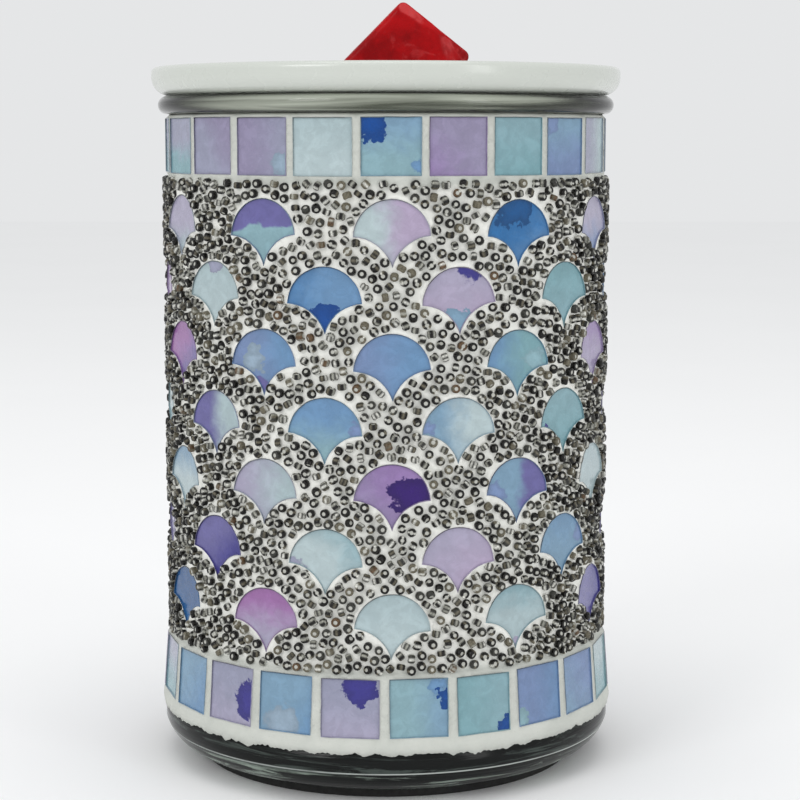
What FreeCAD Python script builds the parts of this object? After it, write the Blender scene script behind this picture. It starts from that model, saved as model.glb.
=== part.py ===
"""Mosaic glass wax warmer: a lipped glass jar in a coat of glass tiles, beads and grout, with a lamp
inside and a wax dish on its mouth. Millimetres, +Z up, origin on the floor at the jar's axis, front at -Y."""

import FreeCAD
import Part

import math
import os
import random

V = FreeCAD.Vector

# --- Driving dimensions -------------------------------------------------------------------------
# glass jar, heights above its own underside
jar_height = 148.3
glass_radius = 48.0  # outside of the straight wall that the mosaic is laid on
glass_wall = 2.5
base_thickness = 5.5  # glass under the inside floor, at the standing ring
punt_depth = 2.5  # hollow under the middle of the base
punt_slope = 4.0  # radial width of the slope into the hollow
base_hole_clearance = 0.6
floor_corner_radius = 3.0
foot_overhang = 3.5  # how far the foot and the lip stand out from the wall
foot_height = 11.9
foot_edge_height = 6.3  # height of the foot's widest line
foot_edge_land = 3.3  # upright stretch above the foot's widest line, up to the grout
heel_bulge = 1.2
standing_inset = 3.2  # standing ring's edge, inside the straight wall
standing_width = 8.8
lip_overhang = 3.6
lip_height = 4.1
lip_inset = 0.7  # how far the mouth is drawn in from the inside wall

# mosaic
tile_count = 22  # square tiles in each band
scale_count = 11  # fan-shaped tiles in each row
scale_rows = 7
tile_thickness = 1.6
adhesive = 0.15  # least grout behind a tile
square_width = 12.6
square_height = 12.1
lower_square_height = 12.5
upper_square_drop = 5.0  # lip top to the upper band's tiles
lower_square_rise = 13.2  # glass underside to the lower band's tiles
lower_lean = 4.35  # degrees that the lower tiles lean out at their feet
lower_bed = 0.8  # extra grout behind the lower tiles' top edges
upper_phase = 1.5  # degrees from the front to a tile's middle
lower_phase = 8.1
scale_phase = 1.8
scale_width = 16.2
scale_height = 14.2
scale_crown = 7.7  # top of a fan tile down to its side corners
scale_hollow = 1.7  # how far a lower edge curves in
row_margin = 4.7  # upper square tiles to the first fan tiles
foot_row_margin = 4.0  # last fan tiles to the lower square tiles
laying_error = 0.25  # how far a hand-laid tile is out of place
band_grout_recess = 0.15  # grout below the face of the square tiles
scale_grout_recess = 0.25  # grout below the middle of a fan tile's face
bead_rise = 1.5  # beads above the grout that they are set in
bead_border = 0.5  # bare grout round each fan tile
bead_band_border = 0.8  # bare grout beside each band of squares
skirt_bulge = 0.35  # grout roll below the lower tiles
grout_collar = 0.8  # grout above the upper tiles

# foot pad
pad_thickness = 2.3
pad_edge = 1.8  # the pad's outer edge, inside the standing ring
cord_slot_width = 7.0

# lamp stem and its clamp
rod_radius = 5.0
rod_wall = 1.6
rod_below_nut = 0.3
nut_wall = 2.0
bottom_nut_height = 1.8
top_nut_height = 4.0
gasket_thickness = 1.0
bottom_gasket_width = 4.5
top_gasket_width = 8.0
plate_margin = 9.5  # inside wall to the plate's rim
plate_thickness = 1.2
plate_rim_gap = 0.2  # the plate's turned-down rim above the glass floor
sleeve_wall = 1.5
sleeve_height = 34.5
rod_fit = 0.1  # plain holes that the rod passes through

# lamp holder
holder_radius = 14.0
holder_cap_height = 14.0
holder_cap_floor = 4.0
holder_wall = 2.5
holder_body_height = 27.0
insulator_height = 4.0
insulator_fit = 0.1
shell_thickness = 0.4
shell_lower_lip = 2.5
shell_setback = 2.0  # the brass shell's end below the holder's mouth
contact_thickness = 0.4
contact_width = 4.0
contact_spring_height = 2.4
contact_reach = 4.6
terminal_offset = 7.5
terminal_head_radius = 2.6
terminal_head_height = 2.4
terminal_shank_radius = 1.25
terminal_shank_length = 2.6
rod_in_holder = 2.0  # rod end above the holder cap's floor

# bulb, heights above its tip
bulb_length = 57.0
bulb_radius = 13.0
bulb_glass_wall = 0.8
bulb_widest_height = 37.0
bulb_dome_height = 44.0
cap_crest_radius = 6.95
cap_thread_depth = 0.45
cap_thread_pitch = 2.82
cap_threads = 5
cap_wall = 0.35
cap_height = 23.0
cap_start = 4.5
insulator_tip_height = 1.4
tip_radius = 2.4
tip_height = 1.5
screw_clearance = 0.35
contact_gap = 0.1
stem_height = 33.0
stem_radius = 1.6
stem_flare_radius = 4.6
lead_radius = 0.3
lead_spread = 2.4
filament_half_span = 6.5
filament_height = 40.0
filament_radius = 0.35
filament_sag = 1.6

# wax dish
dish_overhang = 1.4  # dish rim beyond the jar's lip
dish_rim_height = 6.25
dish_rim_land = 2.6  # flat top of the rim
dish_edge_radius = 4.0
dish_top_edge_radius = 1.3
dish_depth = 12.8  # rim top to the inside floor
dish_floor_thickness = 2.8
dish_floor_inset = 11.8  # jar's mouth to the edge of the dish's floor
dish_wall = 3.2  # thickness of the sloping wall, measured level
dish_mouth_clearance = 0.9
seat_gap = 0.05

# wax melt: a tapered block that stands on a melted corner
wax_long_side = 26.0
wax_short_side = 20.2
wax_depth = 24.0
wax_apex_height = 28.1  # above the dish's floor
wax_apex_offset = 3.4
wax_long_slope = 45.3  # degrees below level, to the left
wax_short_slope = 38.3  # degrees below level, to the right
wax_far_long_side = 24.0
wax_far_slope = 58.0
wax_end_taper = 1.0
wax_turn = 2.0
wax_edge_radius = 1.5
wax_rest_gap = 0.05

# --- Places that follow from them ---------------------------------------------------------------
glass_bottom = pad_thickness
lip_top = glass_bottom + jar_height
inner_radius = glass_radius - glass_wall
standing_radius = glass_radius - standing_inset
punt_radius = standing_radius - standing_width
mouth_radius = inner_radius - lip_inset
glass_floor = glass_bottom + base_thickness
punt_top = glass_bottom + punt_depth
foot_top = glass_bottom + foot_height
foot_edge_bottom = glass_bottom + foot_edge_height
foot_edge_top = foot_edge_bottom + foot_edge_land
foot_radius = glass_radius + foot_overhang
lip_radius = glass_radius + lip_overhang
lip_bottom = lip_top - lip_height

tile_back = glass_radius + adhesive
tile_face = tile_back + tile_thickness
upper_top = lip_top - upper_square_drop
upper_bottom = upper_top - square_height
lower_bottom = glass_bottom + lower_square_rise
lower_top = lower_bottom + lower_square_height
first_row_top = upper_bottom - row_margin
last_row_top = lower_top + foot_row_margin + scale_height
row_pitch = (first_row_top - last_row_top) / (scale_rows - 1)
band_grout_radius = tile_face - band_grout_recess
bead_grout_radius = tile_face - scale_grout_recess
bead_radius = bead_grout_radius + bead_rise
lower_face = tile_face + lower_bed
lower_spread = lower_square_height * math.tan(math.radians(lower_lean))

rod_bore_radius = rod_radius - rod_wall
base_hole_radius = rod_radius + base_hole_clearance
nut_across_flats = 2 * (rod_radius + nut_wall)
bottom_gasket_radius = rod_radius + bottom_gasket_width
top_gasket_radius = rod_radius + top_gasket_width
plate_radius = inner_radius - plate_margin
nut_bottom = punt_top - gasket_thickness - bottom_nut_height
rod_bottom = nut_bottom - rod_below_nut
plate_bottom = glass_floor + gasket_thickness
plate_top = plate_bottom + plate_thickness
sleeve_bottom = plate_top + top_nut_height
holder_bottom = sleeve_bottom + sleeve_height
body_bottom = holder_bottom + holder_cap_height
body_top = body_bottom + holder_body_height
insulator_top = body_bottom + insulator_height
rod_top = holder_bottom + holder_cap_floor + rod_in_holder
shell_inner_radius = cap_crest_radius + screw_clearance
shell_outer_radius = shell_inner_radius + shell_thickness
contact_top = insulator_top + contact_spring_height
bulb_tip = contact_top + contact_gap

dish_rim_radius = lip_radius + dish_overhang
dish_floor_radius = mouth_radius - dish_floor_inset
dish_seat = lip_top + seat_gap
dish_top = dish_seat + dish_rim_height
dish_floor = dish_top - dish_depth
dish_bottom = dish_floor - dish_floor_thickness
dish_seat_radius = mouth_radius - dish_mouth_clearance


# --- Helpers ------------------------------------------------------------------------------------
def outline(start, *steps):
    """A closed face in the XZ plane. A step is a point, or (middle, end) for an arc through three points."""
    here = V(start[0], 0, start[1])
    first = here
    edges = []
    for step in steps:
        if isinstance(step[0], tuple):
            middle = V(step[0][0], 0, step[0][1])
            end = V(step[1][0], 0, step[1][1])
            edges.append(Part.Arc(here, middle, end).toShape())
        else:
            end = V(step[0], 0, step[1])
            edges.append(Part.LineSegment(here, end).toShape())
        here = end
    if here.distanceToPoint(first) > 1e-7:
        edges.append(Part.LineSegment(here, first).toShape())
    return Part.Face(Part.Wire(edges))


def turned(start, *steps):
    """A solid of revolution about Z from an outline of (radius, height) points."""
    return outline(start, *steps).revolve(V(0, 0, 0), V(0, 0, 1), 360)


def tube(inner, outer, bottom, top):
    """A straight tube about Z, or a plain cylinder if inner is 0."""
    body = Part.makeCylinder(outer, top - bottom, V(0, 0, bottom))
    if inner > 0:
        body = body.cut(Part.makeCylinder(inner, top - bottom, V(0, 0, bottom)))
    return body


def corner(centre, radius, degrees):
    """The point of a circle in the profile plane at that angle, 0 outwards and 90 upwards."""
    angle = math.radians(degrees)
    return (centre[0] + radius * math.cos(angle), centre[1] + radius * math.sin(angle))


def round_corner(centre, radius, start, end):
    """The arc step of outline() that goes round a centre from one angle to another."""
    return (corner(centre, radius, (start + end) / 2), corner(centre, radius, end))


def hexagon(across_flats, bottom, height):
    """A hexagonal prism about Z."""
    points = []
    for side in range(7):
        angle = math.radians(60 * side)
        reach = across_flats / math.sqrt(3)
        points.append(V(reach * math.cos(angle), reach * math.sin(angle), bottom))
    return Part.Face(Part.makePolygon(points)).extrude(V(0, 0, height))


def swept_rod(points, radius):
    """A round wire along straight runs, with a ball at each bend."""
    pieces = []
    for here, there in zip(points, points[1:]):
        run = there - here
        pieces.append(Part.makeCylinder(radius, run.Length, here, run))
    for bend in points[1:-1]:
        pieces.append(Part.makeSphere(radius, bend))
    return pieces[0].fuse(pieces[1:]).removeSplitter()


def turn_to(shape, degrees):
    """Turns a shape that was made at +X to an angle counted from the front (-Y), positive to the right."""
    moved = shape.copy()
    moved.rotate(V(0, 0, 0), V(0, 0, 1), degrees - 90)
    return moved


def save(name, *solids):
    """Writes one node, as one solid or a group of separate solids."""
    loose = [solid for shape in solids for solid in shape.Solids]
    shape = loose[0] if len(loose) == 1 else Part.makeCompound(loose)
    shape.exportStep(f"parts/{name}.step")
    print(f"{name}: {len(loose)} solids, {shape.Volume:.0f} mm3, valid {shape.isValid()}")


# --- Glass jar ----------------------------------------------------------------------------------
def glass_jar():
    lip_middle = (lip_top + lip_bottom) / 2
    lip_bulge = lip_height / 2
    lip_centre_radius = lip_radius - lip_bulge
    heel_middle = (
        (standing_radius + foot_radius) / 2 + heel_bulge,
        (glass_bottom + foot_edge_bottom) / 2 - heel_bulge / 2,
    )
    floor_corner = (inner_radius - floor_corner_radius, glass_floor + floor_corner_radius)
    return turned(
        (base_hole_radius, punt_top),
        (punt_radius - punt_slope, punt_top),
        (punt_radius, glass_bottom),
        (standing_radius, glass_bottom),
        (heel_middle, (foot_radius, foot_edge_bottom)),
        (foot_radius, foot_edge_top),
        (glass_radius, foot_top),
        (glass_radius, lip_bottom),
        (lip_centre_radius, lip_bottom),
        ((lip_radius, lip_middle), (lip_centre_radius, lip_top)),
        (mouth_radius + lip_bulge, lip_top),
        ((mouth_radius, lip_middle), (mouth_radius + lip_inset, lip_bottom)),
        (inner_radius, lip_bottom - lip_bulge),
        (inner_radius, floor_corner[1]),
        round_corner(floor_corner, floor_corner_radius, 0, -90),
        (base_hole_radius, glass_floor),
    )


# --- Mosaic -------------------------------------------------------------------------------------
def square_tile(width, height, middle, face, lean):
    """A flat tile at +X whose face's middle is at that radius; lean tips its foot outwards."""
    tile = Part.makeBox(tile_thickness, width, height, V(face - tile_thickness, -width / 2, -height / 2))
    tile.rotate(V(face, 0, 0), V(0, 1, 0), -lean)
    tile.translate(V(0, 0, middle))
    return tile


def square_band(height, bottom, face, lean, phase, seed):
    """A ring of hand-laid square tiles."""
    laid = random.Random(seed)
    tiles = []
    for index in range(tile_count):
        width = square_width + laid.uniform(-laying_error, laying_error)
        middle = bottom + height / 2 + laid.uniform(-laying_error, laying_error) / 2
        tile = square_tile(width, height, middle, face, lean)
        slip = math.degrees(laid.uniform(-laying_error, laying_error) / 2 / face)
        tiles.append(turn_to(tile, phase + slip + index * 360 / tile_count))
    return tiles


def scale_outline(radius, top, grow):
    """The face of a fan tile at +X: a round crown over two edges that curve in to a tip."""
    half = scale_width / 2 + grow
    crown = V(radius, 0, top + grow)
    side = top - scale_crown - grow / 2
    tip = V(radius, 0, top - scale_height - 2 * grow)
    right = V(radius, half, side)
    left = V(radius, -half, side)
    chord = right - tip
    inward = V(0, -chord.z, chord.y).normalize() * (scale_hollow - grow / 2)
    right_middle = (right + tip) / 2 + inward
    left_middle = V(right_middle.x, -right_middle.y, right_middle.z)
    edges = [
        Part.Arc(right, crown, left),
        Part.Arc(left, left_middle, tip),
        Part.Arc(tip, right_middle, right),
    ]
    return Part.Face(Part.Wire([edge.toShape() for edge in edges]))


def scale_angles(row):
    """The angles of a row's fan tiles; every second row is half a pitch round."""
    pitch = 360 / scale_count
    stagger = pitch / 2 if row % 2 else 0
    return [scale_phase + stagger + pitch * index for index in range(scale_count)]


def scale_row(row, back, depth, grow, seed):
    """A ring of fan-shaped prisms from a back radius outwards."""
    laid = random.Random(seed + row)
    prisms = []
    for angle in scale_angles(row):
        drop = laid.uniform(-laying_error, laying_error)
        turn = laid.uniform(-laying_error, laying_error) * 8
        top = first_row_top - row * row_pitch + drop
        prism = scale_outline(back, top, grow).extrude(V(depth, 0, 0))
        prism.rotate(V(back, 0, top - scale_height / 2), V(1, 0, 0), turn)
        prisms.append(turn_to(prism, angle))
    return prisms


def grout(tiles):
    """The grout coat, with a pocket for every tile."""
    lower_grout_top = lower_face - band_grout_recess
    lower_grout_bottom = lower_grout_top + lower_spread
    skirt_middle = (
        (foot_radius + lower_grout_bottom) / 2 + skirt_bulge * 2,
        (foot_edge_top + lower_bottom) / 2 - skirt_bulge,
    )
    coat = turned(
        (glass_radius, foot_top),
        (foot_radius, foot_edge_top),
        (skirt_middle, (lower_grout_bottom, lower_bottom)),
        (lower_grout_top, lower_top),
        (bead_grout_radius, lower_top + bead_band_border),
        (bead_grout_radius, upper_bottom - bead_band_border),
        (band_grout_radius, upper_bottom),
        (band_grout_radius, upper_top + grout_collar / 2),
        (glass_radius, upper_top + grout_collar),
    )
    return coat.cut(tiles)


def bead_field():
    """The skin that the beads fill, with a window round every fan tile."""
    bottom = lower_top + bead_band_border
    top = upper_bottom - bead_band_border
    skin = tube(bead_grout_radius, bead_radius, bottom, top)
    windows = []
    for row in range(scale_rows):
        windows += scale_row(row, tile_back, bead_radius - tile_back + 1, bead_border, seed=30)
    return skin.cut(windows)


def make_mosaic():
    upper = square_band(square_height, upper_bottom, tile_face, 0, upper_phase, seed=11)
    lower_middle_face = lower_face + lower_spread / 2
    lower = square_band(
        lower_square_height, lower_bottom, lower_middle_face, lower_lean, lower_phase, seed=12
    )
    rows = [scale_row(row, tile_back, tile_thickness, 0, seed=30) for row in range(scale_rows)]
    save("upper_square_tiles", *upper)
    save("lower_square_tiles", *lower)
    for number, row in enumerate(rows, start=1):
        save(f"scale_tiles_row_{number}", *row)
    save("grout_coat", grout(upper + lower + [tile for row in rows for tile in row]))
    save("bead_field", bead_field())


# --- Foot pad -----------------------------------------------------------------------------------
def foot_pad():
    """A rubber ring under the standing ring, with a slot at the back for the cord."""
    outer = standing_radius - pad_edge
    ring = tube(punt_radius, outer, 0, pad_thickness)
    slot = Part.makeBox(
        cord_slot_width,
        outer - punt_radius + 4,
        pad_thickness,
        V(-cord_slot_width / 2, punt_radius - 2, 0),
    )
    return ring.cut(slot)


# --- Lamp stem ----------------------------------------------------------------------------------
def base_plate():
    """A pressed steel disc with a turned-down rim."""
    hole = rod_radius + rod_fit
    rim_bottom = glass_floor + plate_rim_gap
    rim_inner = plate_radius - plate_thickness
    return turned(
        (hole, plate_bottom),
        (rim_inner, plate_bottom),
        (rim_inner, rim_bottom),
        (plate_radius, rim_bottom),
        (plate_radius, plate_bottom),
        round_corner((rim_inner, plate_bottom), plate_thickness, 0, 90),
        (hole, plate_top),
    )


def nut(bottom, height):
    return hexagon(nut_across_flats, bottom, height).cut(tube(0, rod_radius, bottom, bottom + height))


def make_lamp_stem():
    hole = rod_radius + rod_fit
    save("hollow_rod", tube(rod_bore_radius, rod_radius, rod_bottom, rod_top))
    save("bottom_nut", nut(nut_bottom, bottom_nut_height))
    save("bottom_gasket", tube(hole, bottom_gasket_radius, punt_top - gasket_thickness, punt_top))
    save("top_gasket", tube(hole, top_gasket_radius, glass_floor, plate_bottom))
    save("lamp_base_plate", base_plate())
    save("top_nut", nut(plate_top, top_nut_height))
    save("spacer_sleeve", tube(hole, hole + sleeve_wall, sleeve_bottom, holder_bottom))


# --- Lamp holder --------------------------------------------------------------------------------
def holder_cap():
    inner = holder_radius - holder_wall
    cup = tube(rod_radius, holder_radius, holder_bottom, body_bottom)
    return cup.cut(tube(0, inner, holder_bottom + holder_cap_floor, body_bottom))


def holder_body():
    """The upper half of the holder: a recess for the insulator, then the seat of the brass shell."""
    body = tube(shell_outer_radius, holder_radius, body_bottom, body_top)
    recess = holder_radius - holder_wall
    return body.cut(tube(0, recess, body_bottom, insulator_top))


def holder_insulator():
    """The ceramic disc that carries the contacts, with two holes for the terminal screws."""
    disc = tube(0, holder_radius - holder_wall - insulator_fit, body_bottom, insulator_top)
    for side in (-1, 1):
        hole = Part.makeCylinder(terminal_shank_radius, insulator_height, V(side * terminal_offset, 0, body_bottom))
        disc = disc.cut(hole)
    return disc


def threaded_shell():
    """The brass shell that the bulb's cap screws into, with an inward lip at its foot."""
    top = body_top - shell_setback
    shell = tube(shell_inner_radius, shell_outer_radius, insulator_top, top)
    lip = tube(
        shell_outer_radius - shell_lower_lip,
        shell_outer_radius,
        insulator_top,
        insulator_top + shell_thickness,
    )
    return shell.fuse(lip).removeSplitter()


def centre_contact():
    """A sprung bronze strip: flat on the insulator, then up and level under the bulb's tip."""
    low = insulator_top
    high = contact_top - contact_thickness
    thick = contact_thickness
    profile = outline(
        (-contact_reach, low),
        (-contact_reach * 0.55, low),
        (-contact_reach * 0.2, high),
        (contact_reach * 0.45, high),
        (contact_reach * 0.45, high + thick),
        (-contact_reach * 0.2 - thick / 2, high + thick),
        (-contact_reach * 0.55 - thick / 2, low + thick),
        (-contact_reach, low + thick),
    )
    strip = profile.extrude(V(0, contact_width, 0))
    strip.translate(V(0, -contact_width / 2, 0))
    return strip


def terminal_screws():
    """Two cheese-head screws under the insulator."""
    screws = []
    for side in (-1, 1):
        place = V(side * terminal_offset, 0, body_bottom - terminal_head_height)
        head = Part.makeCylinder(terminal_head_radius, terminal_head_height, place)
        shank_end = V(place.x, 0, body_bottom)
        shank = Part.makeCylinder(terminal_shank_radius, terminal_shank_length, shank_end)
        slot = Part.makeBox(terminal_head_radius * 2, 0.7, 0.8, V(place.x - terminal_head_radius, -0.35, place.z))
        screws.append(head.fuse(shank).cut(slot).removeSplitter())
    return screws


def make_lamp_holder():
    save("lamp_holder_cap", holder_cap())
    save("lamp_holder_body", holder_body())
    save("lamp_holder_insulator", holder_insulator())
    save("threaded_shell", threaded_shell())
    save("centre_contact", centre_contact())
    save("terminal_screws", *terminal_screws())


# --- Bulb ---------------------------------------------------------------------------------------
def bulb_tip_contact():
    """The solder button at the end of the bulb."""
    top = bulb_tip + tip_height
    ball = (tip_radius**2 + tip_height**2) / (2 * tip_height)
    half = math.asin(tip_radius / ball) / 2
    middle = (ball * math.sin(half), bulb_tip + ball - ball * math.cos(half))
    return turned((0, bulb_tip), (middle, (tip_radius, top)), (0, top))


def bulb_insulator():
    """The dark glass cone between the tip and the cap."""
    low = bulb_tip + tip_height
    top = bulb_tip + cap_start
    outer = cap_crest_radius - cap_thread_depth - cap_wall
    return turned((0, low), (tip_radius, low), (outer, top), (0, top))


def bulb_cap():
    """The metal cap: knuckle rings, and a plain collar round the glass neck."""
    low = bulb_tip + cap_start
    root = cap_crest_radius - cap_thread_depth
    inner = root - cap_wall
    rings = []
    height = low
    for _ in range(cap_threads):
        crest = (cap_crest_radius, height + cap_thread_pitch / 2)
        height += cap_thread_pitch
        rings.append((crest, (root, height)))
    top = bulb_tip + cap_height
    return turned((inner, low), (root, low), *rings, (root, top), (inner, top))


def bulb_shape(radius_less):
    """The outline of the bulb's glass, drawn in from its outside by a wall."""
    neck = cap_crest_radius - cap_thread_depth - cap_wall - radius_less
    belly = bulb_radius - radius_less
    neck_bottom = bulb_tip + cap_height - 6
    neck_top = bulb_tip + cap_height + 1
    widest = bulb_tip + bulb_widest_height
    dome = bulb_tip + bulb_dome_height
    top = bulb_tip + bulb_length - radius_less
    shoulder = (belly - (belly - neck) * 0.28, neck_top + (widest - neck_top) * 0.42)
    dome_middle = (belly * math.cos(math.pi / 4), dome + (top - dome) * math.sin(math.pi / 4))
    return turned(
        (0, neck_bottom),
        (neck, neck_bottom),
        (neck, neck_top),
        (shoulder, (belly, widest)),
        (belly, dome),
        (dome_middle, (0, top)),
    )


def bulb_glass():
    """A thin glass envelope, open at its neck."""
    return bulb_shape(0).cut(bulb_shape(bulb_glass_wall))


def bulb_stem():
    """The glass mount inside the neck: a flare that closes it, and a thin rod."""
    low = bulb_tip + cap_height - 6
    top = bulb_tip + stem_height
    return turned(
        (0, low),
        (stem_flare_radius, low),
        ((stem_radius * 1.5, low + 3), (stem_radius, low + 8)),
        (stem_radius, top - 1),
        (stem_radius * 1.3, top),
        (0, top),
    )


def bulb_lead_wires():
    """Two wires that leave the stem's top and spread to the filament's ends."""
    low = bulb_tip + stem_height
    wires = []
    for side in (-1, 1):
        points = [
            V(side * stem_radius * 0.6, 0, low),
            V(side * stem_radius * 0.6, 0, low + lead_radius * 2),
            V(side * lead_spread, 0, low + 2),
            V(side * filament_half_span, 0, bulb_tip + filament_height),
        ]
        wires.append(swept_rod(points, lead_radius))
    return wires


def filament():
    """The coiled filament, as a plain wire of the coil's own size, sagging between the leads."""
    height = bulb_tip + filament_height + lead_radius + filament_radius
    ends = [V(side * filament_half_span, 0, height) for side in (-1, 1)]
    path = Part.Arc(ends[0], V(0, 0, height + filament_sag), ends[1]).toShape()
    start = path.tangentAt(path.FirstParameter)
    circle = Part.Wire(Part.makeCircle(filament_radius, ends[0], start))
    return Part.Wire(path).makePipeShell([circle], True, True)


def make_bulb():
    save("bulb_tip_contact", bulb_tip_contact())
    save("bulb_insulator", bulb_insulator())
    save("bulb_cap", bulb_cap())
    save("bulb_glass", bulb_glass())
    save("bulb_stem", bulb_stem())
    save("bulb_lead_wires", *bulb_lead_wires())
    save("bulb_filament", filament())


# --- Wax dish and wax ---------------------------------------------------------------------------
def wax_dish():
    """A shallow glazed dish: its rim lies on the jar's lip and its bowl hangs in the mouth."""
    low_edge = (dish_rim_radius - dish_edge_radius, dish_seat + dish_edge_radius)
    top_edge = (dish_rim_radius - dish_top_edge_radius, dish_top - dish_top_edge_radius)
    rim_inner = top_edge[0] - dish_rim_land
    inner_edge = (rim_inner, dish_top - dish_top_edge_radius)
    bowl_top = inner_edge[0] - dish_top_edge_radius
    wall_foot = (dish_floor_radius, dish_floor)
    bowl_middle = (dish_floor_radius + (bowl_top - dish_floor_radius) * 0.62, dish_floor + dish_depth * 0.3)
    outer_foot = dish_floor_radius + dish_wall - dish_floor_thickness
    return turned(
        (0, dish_bottom),
        (outer_foot, dish_bottom),
        (dish_seat_radius, dish_seat),
        (low_edge[0], dish_seat),
        round_corner(low_edge, dish_edge_radius, -90, 0),
        (dish_rim_radius, top_edge[1]),
        round_corner(top_edge, dish_top_edge_radius, 0, 90),
        (rim_inner, dish_top),
        round_corner(inner_edge, dish_top_edge_radius, 90, 180),
        (bowl_middle, wall_foot),
        (0, dish_floor),
    )


def wax_melt():
    """A tapered block of wax on edge, with the corner that it stands on melted flat."""
    def along(start, degrees, length):
        angle = math.radians(degrees)
        return (start[0] + length * math.cos(angle), start[1] + length * math.sin(angle))

    apex = (wax_apex_offset, dish_floor + wax_apex_height)
    left = along(apex, 180 + wax_long_slope, wax_long_side)
    right = along(apex, -wax_short_slope, wax_short_side)
    foot = along(right, 180 + wax_far_slope, wax_far_long_side)
    front = Part.makePolygon([V(x, 0, z) for x, z in (apex, left, foot, right, apex)])
    centre = V((apex[0] + foot[0]) / 2, 0, (apex[1] + foot[1]) / 2)
    ends = []
    for side in (-1, 1):
        shrink = 1 - (wax_end_taper if side < 0 else 0) / wax_long_side
        end = front.copy()
        end.scale(shrink, centre)
        end.translate(V(0, side * wax_depth / 2, 0))
        ends.append(end)
    block = Part.makeLoft(ends, True, True)
    block = block.makeFillet(wax_edge_radius, block.Edges)
    block.rotate(centre, V(0, 0, 1), wax_turn)
    rest = dish_floor + wax_rest_gap
    reach = 4 * wax_long_side
    under = Part.makeBox(reach, reach, reach, V(centre.x - reach / 2, -reach / 2, rest - reach))
    return block.cut(under)


def main():
    os.makedirs("parts", exist_ok=True)
    save("glass_jar", glass_jar())
    make_mosaic()
    save("foot_pad", foot_pad())
    make_lamp_stem()
    make_lamp_holder()
    make_bulb()
    save("wax_dish", wax_dish())
    save("wax_melt", wax_melt())


main()
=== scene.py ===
import math
import random

import bmesh
import bpy
import numpy as np
from mathutils import Matrix, Vector, geometry, kdtree, noise


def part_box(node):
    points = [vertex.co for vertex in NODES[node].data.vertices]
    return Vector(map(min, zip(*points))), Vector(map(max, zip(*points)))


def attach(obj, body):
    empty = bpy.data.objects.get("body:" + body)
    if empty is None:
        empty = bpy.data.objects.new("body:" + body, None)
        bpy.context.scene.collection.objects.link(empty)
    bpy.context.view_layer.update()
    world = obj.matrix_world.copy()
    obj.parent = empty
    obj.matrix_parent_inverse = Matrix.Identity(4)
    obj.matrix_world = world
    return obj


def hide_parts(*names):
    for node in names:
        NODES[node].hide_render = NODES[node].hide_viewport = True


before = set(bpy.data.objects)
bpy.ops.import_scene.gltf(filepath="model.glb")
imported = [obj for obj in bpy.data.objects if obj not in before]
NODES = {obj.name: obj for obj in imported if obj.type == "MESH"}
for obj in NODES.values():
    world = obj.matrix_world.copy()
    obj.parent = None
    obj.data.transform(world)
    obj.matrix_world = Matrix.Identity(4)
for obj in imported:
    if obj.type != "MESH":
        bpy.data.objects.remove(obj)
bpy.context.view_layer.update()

# A mosaic wax warmer: glass jar, painted glass tiles, seed beads, grout, dish, wax and lamp.
# Metres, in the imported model's frame: +Z up, front at -Y. Angles round the jar are counted from the
# front, positive to the right.

MM = 0.001

# --- Sizes that the frame doesn't give --------------------------------------------------------------
RECESS = 0.30 * MM  # painted back of a tile below its glass edge, as it looks through the glass
EDGE_WIDTH = 0.10 * MM
EDGE_ROUND = 0.07 * MM
GROUT_STEP = 0.95 * MM
GROUT_ROUGHNESS = 0.10 * MM
SKIRT_RAGGED = 1.0 * MM
BEAD_RADIUS = 0.97 * MM
BEAD_LENGTH = 1.45 * MM
BEAD_SPACING = 2.34 * MM
BEAD_SHARE = 1.01  # beads per hexagon of that spacing in the space that their middles may take
BEAD_STEPS = 12
BEAD_BORDER = 0.15 * MM  # bare grout between a tile's outline and the nearest bead's edge
SCALE_ROWS = 7


# --- Colours ----------------------------------------------------------------------------------------
def linear(red, green, blue):
    """A linear colour from screen values of 0 to 255."""
    def channel(value):
        value /= 255
        return value / 12.92 if value <= 0.04045 else ((value + 0.055) / 1.055) ** 2.4

    return (channel(red), channel(green), channel(blue), 1.0)


PAINTS = {
    "ice": linear(175, 191, 194),
    "mist": linear(164, 182, 186),
    "aqua": linear(132, 165, 174),
    "teal": linear(120, 160, 168),
    "sky": linear(120, 152, 176),
    "azure": linear(102, 139, 176),
    "blue": linear(46, 108, 164),
    "cobalt": linear(6, 66, 136),
    "navy": linear(20, 76, 128),
    "periwinkle": linear(114, 134, 172),
    "haze": linear(138, 157, 174),
    "lavender": linear(146, 148, 170),
    "lilac": linear(162, 157, 180),
    "pink": linear(170, 156, 182),
    "mauve": linear(141, 134, 162),
    "orchid": linear(142, 116, 166),
    "magenta": linear(152, 106, 160),
    "violet": linear(102, 98, 152),
    "indigo": linear(54, 50, 128),
    "plum": linear(44, 12, 98),
}

# --- Paint on each tile -----------------------------------------------------------------------------
# A tile has a wash from one paint to another in a direction, and up to two blots, each at a place in
# the tile. The place runs from -1 to 1 to the right and upwards; a blot's size is its radius there.
DOWN = (0, -1)
UP = (0, 1)
RIGHT = (1, 0)
LEFT = (-1, 0)
DOWN_RIGHT = (0.7, -0.7)
DOWN_LEFT = (-0.7, -0.7)
UP_RIGHT = (0.7, 0.7)


def wash(first, second, towards=DOWN, sharp=0.7, shift=0.0, blot=None, patch=None):
    """What is painted on one tile. blot has a crisp edge and patch a soft one: (paint, (x, y), size)."""
    return {
        "first": first,
        "second": second,
        "towards": towards,
        "sharp": sharp,
        "shift": shift,
        "blot": blot,
        "patch": patch,
    }


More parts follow.
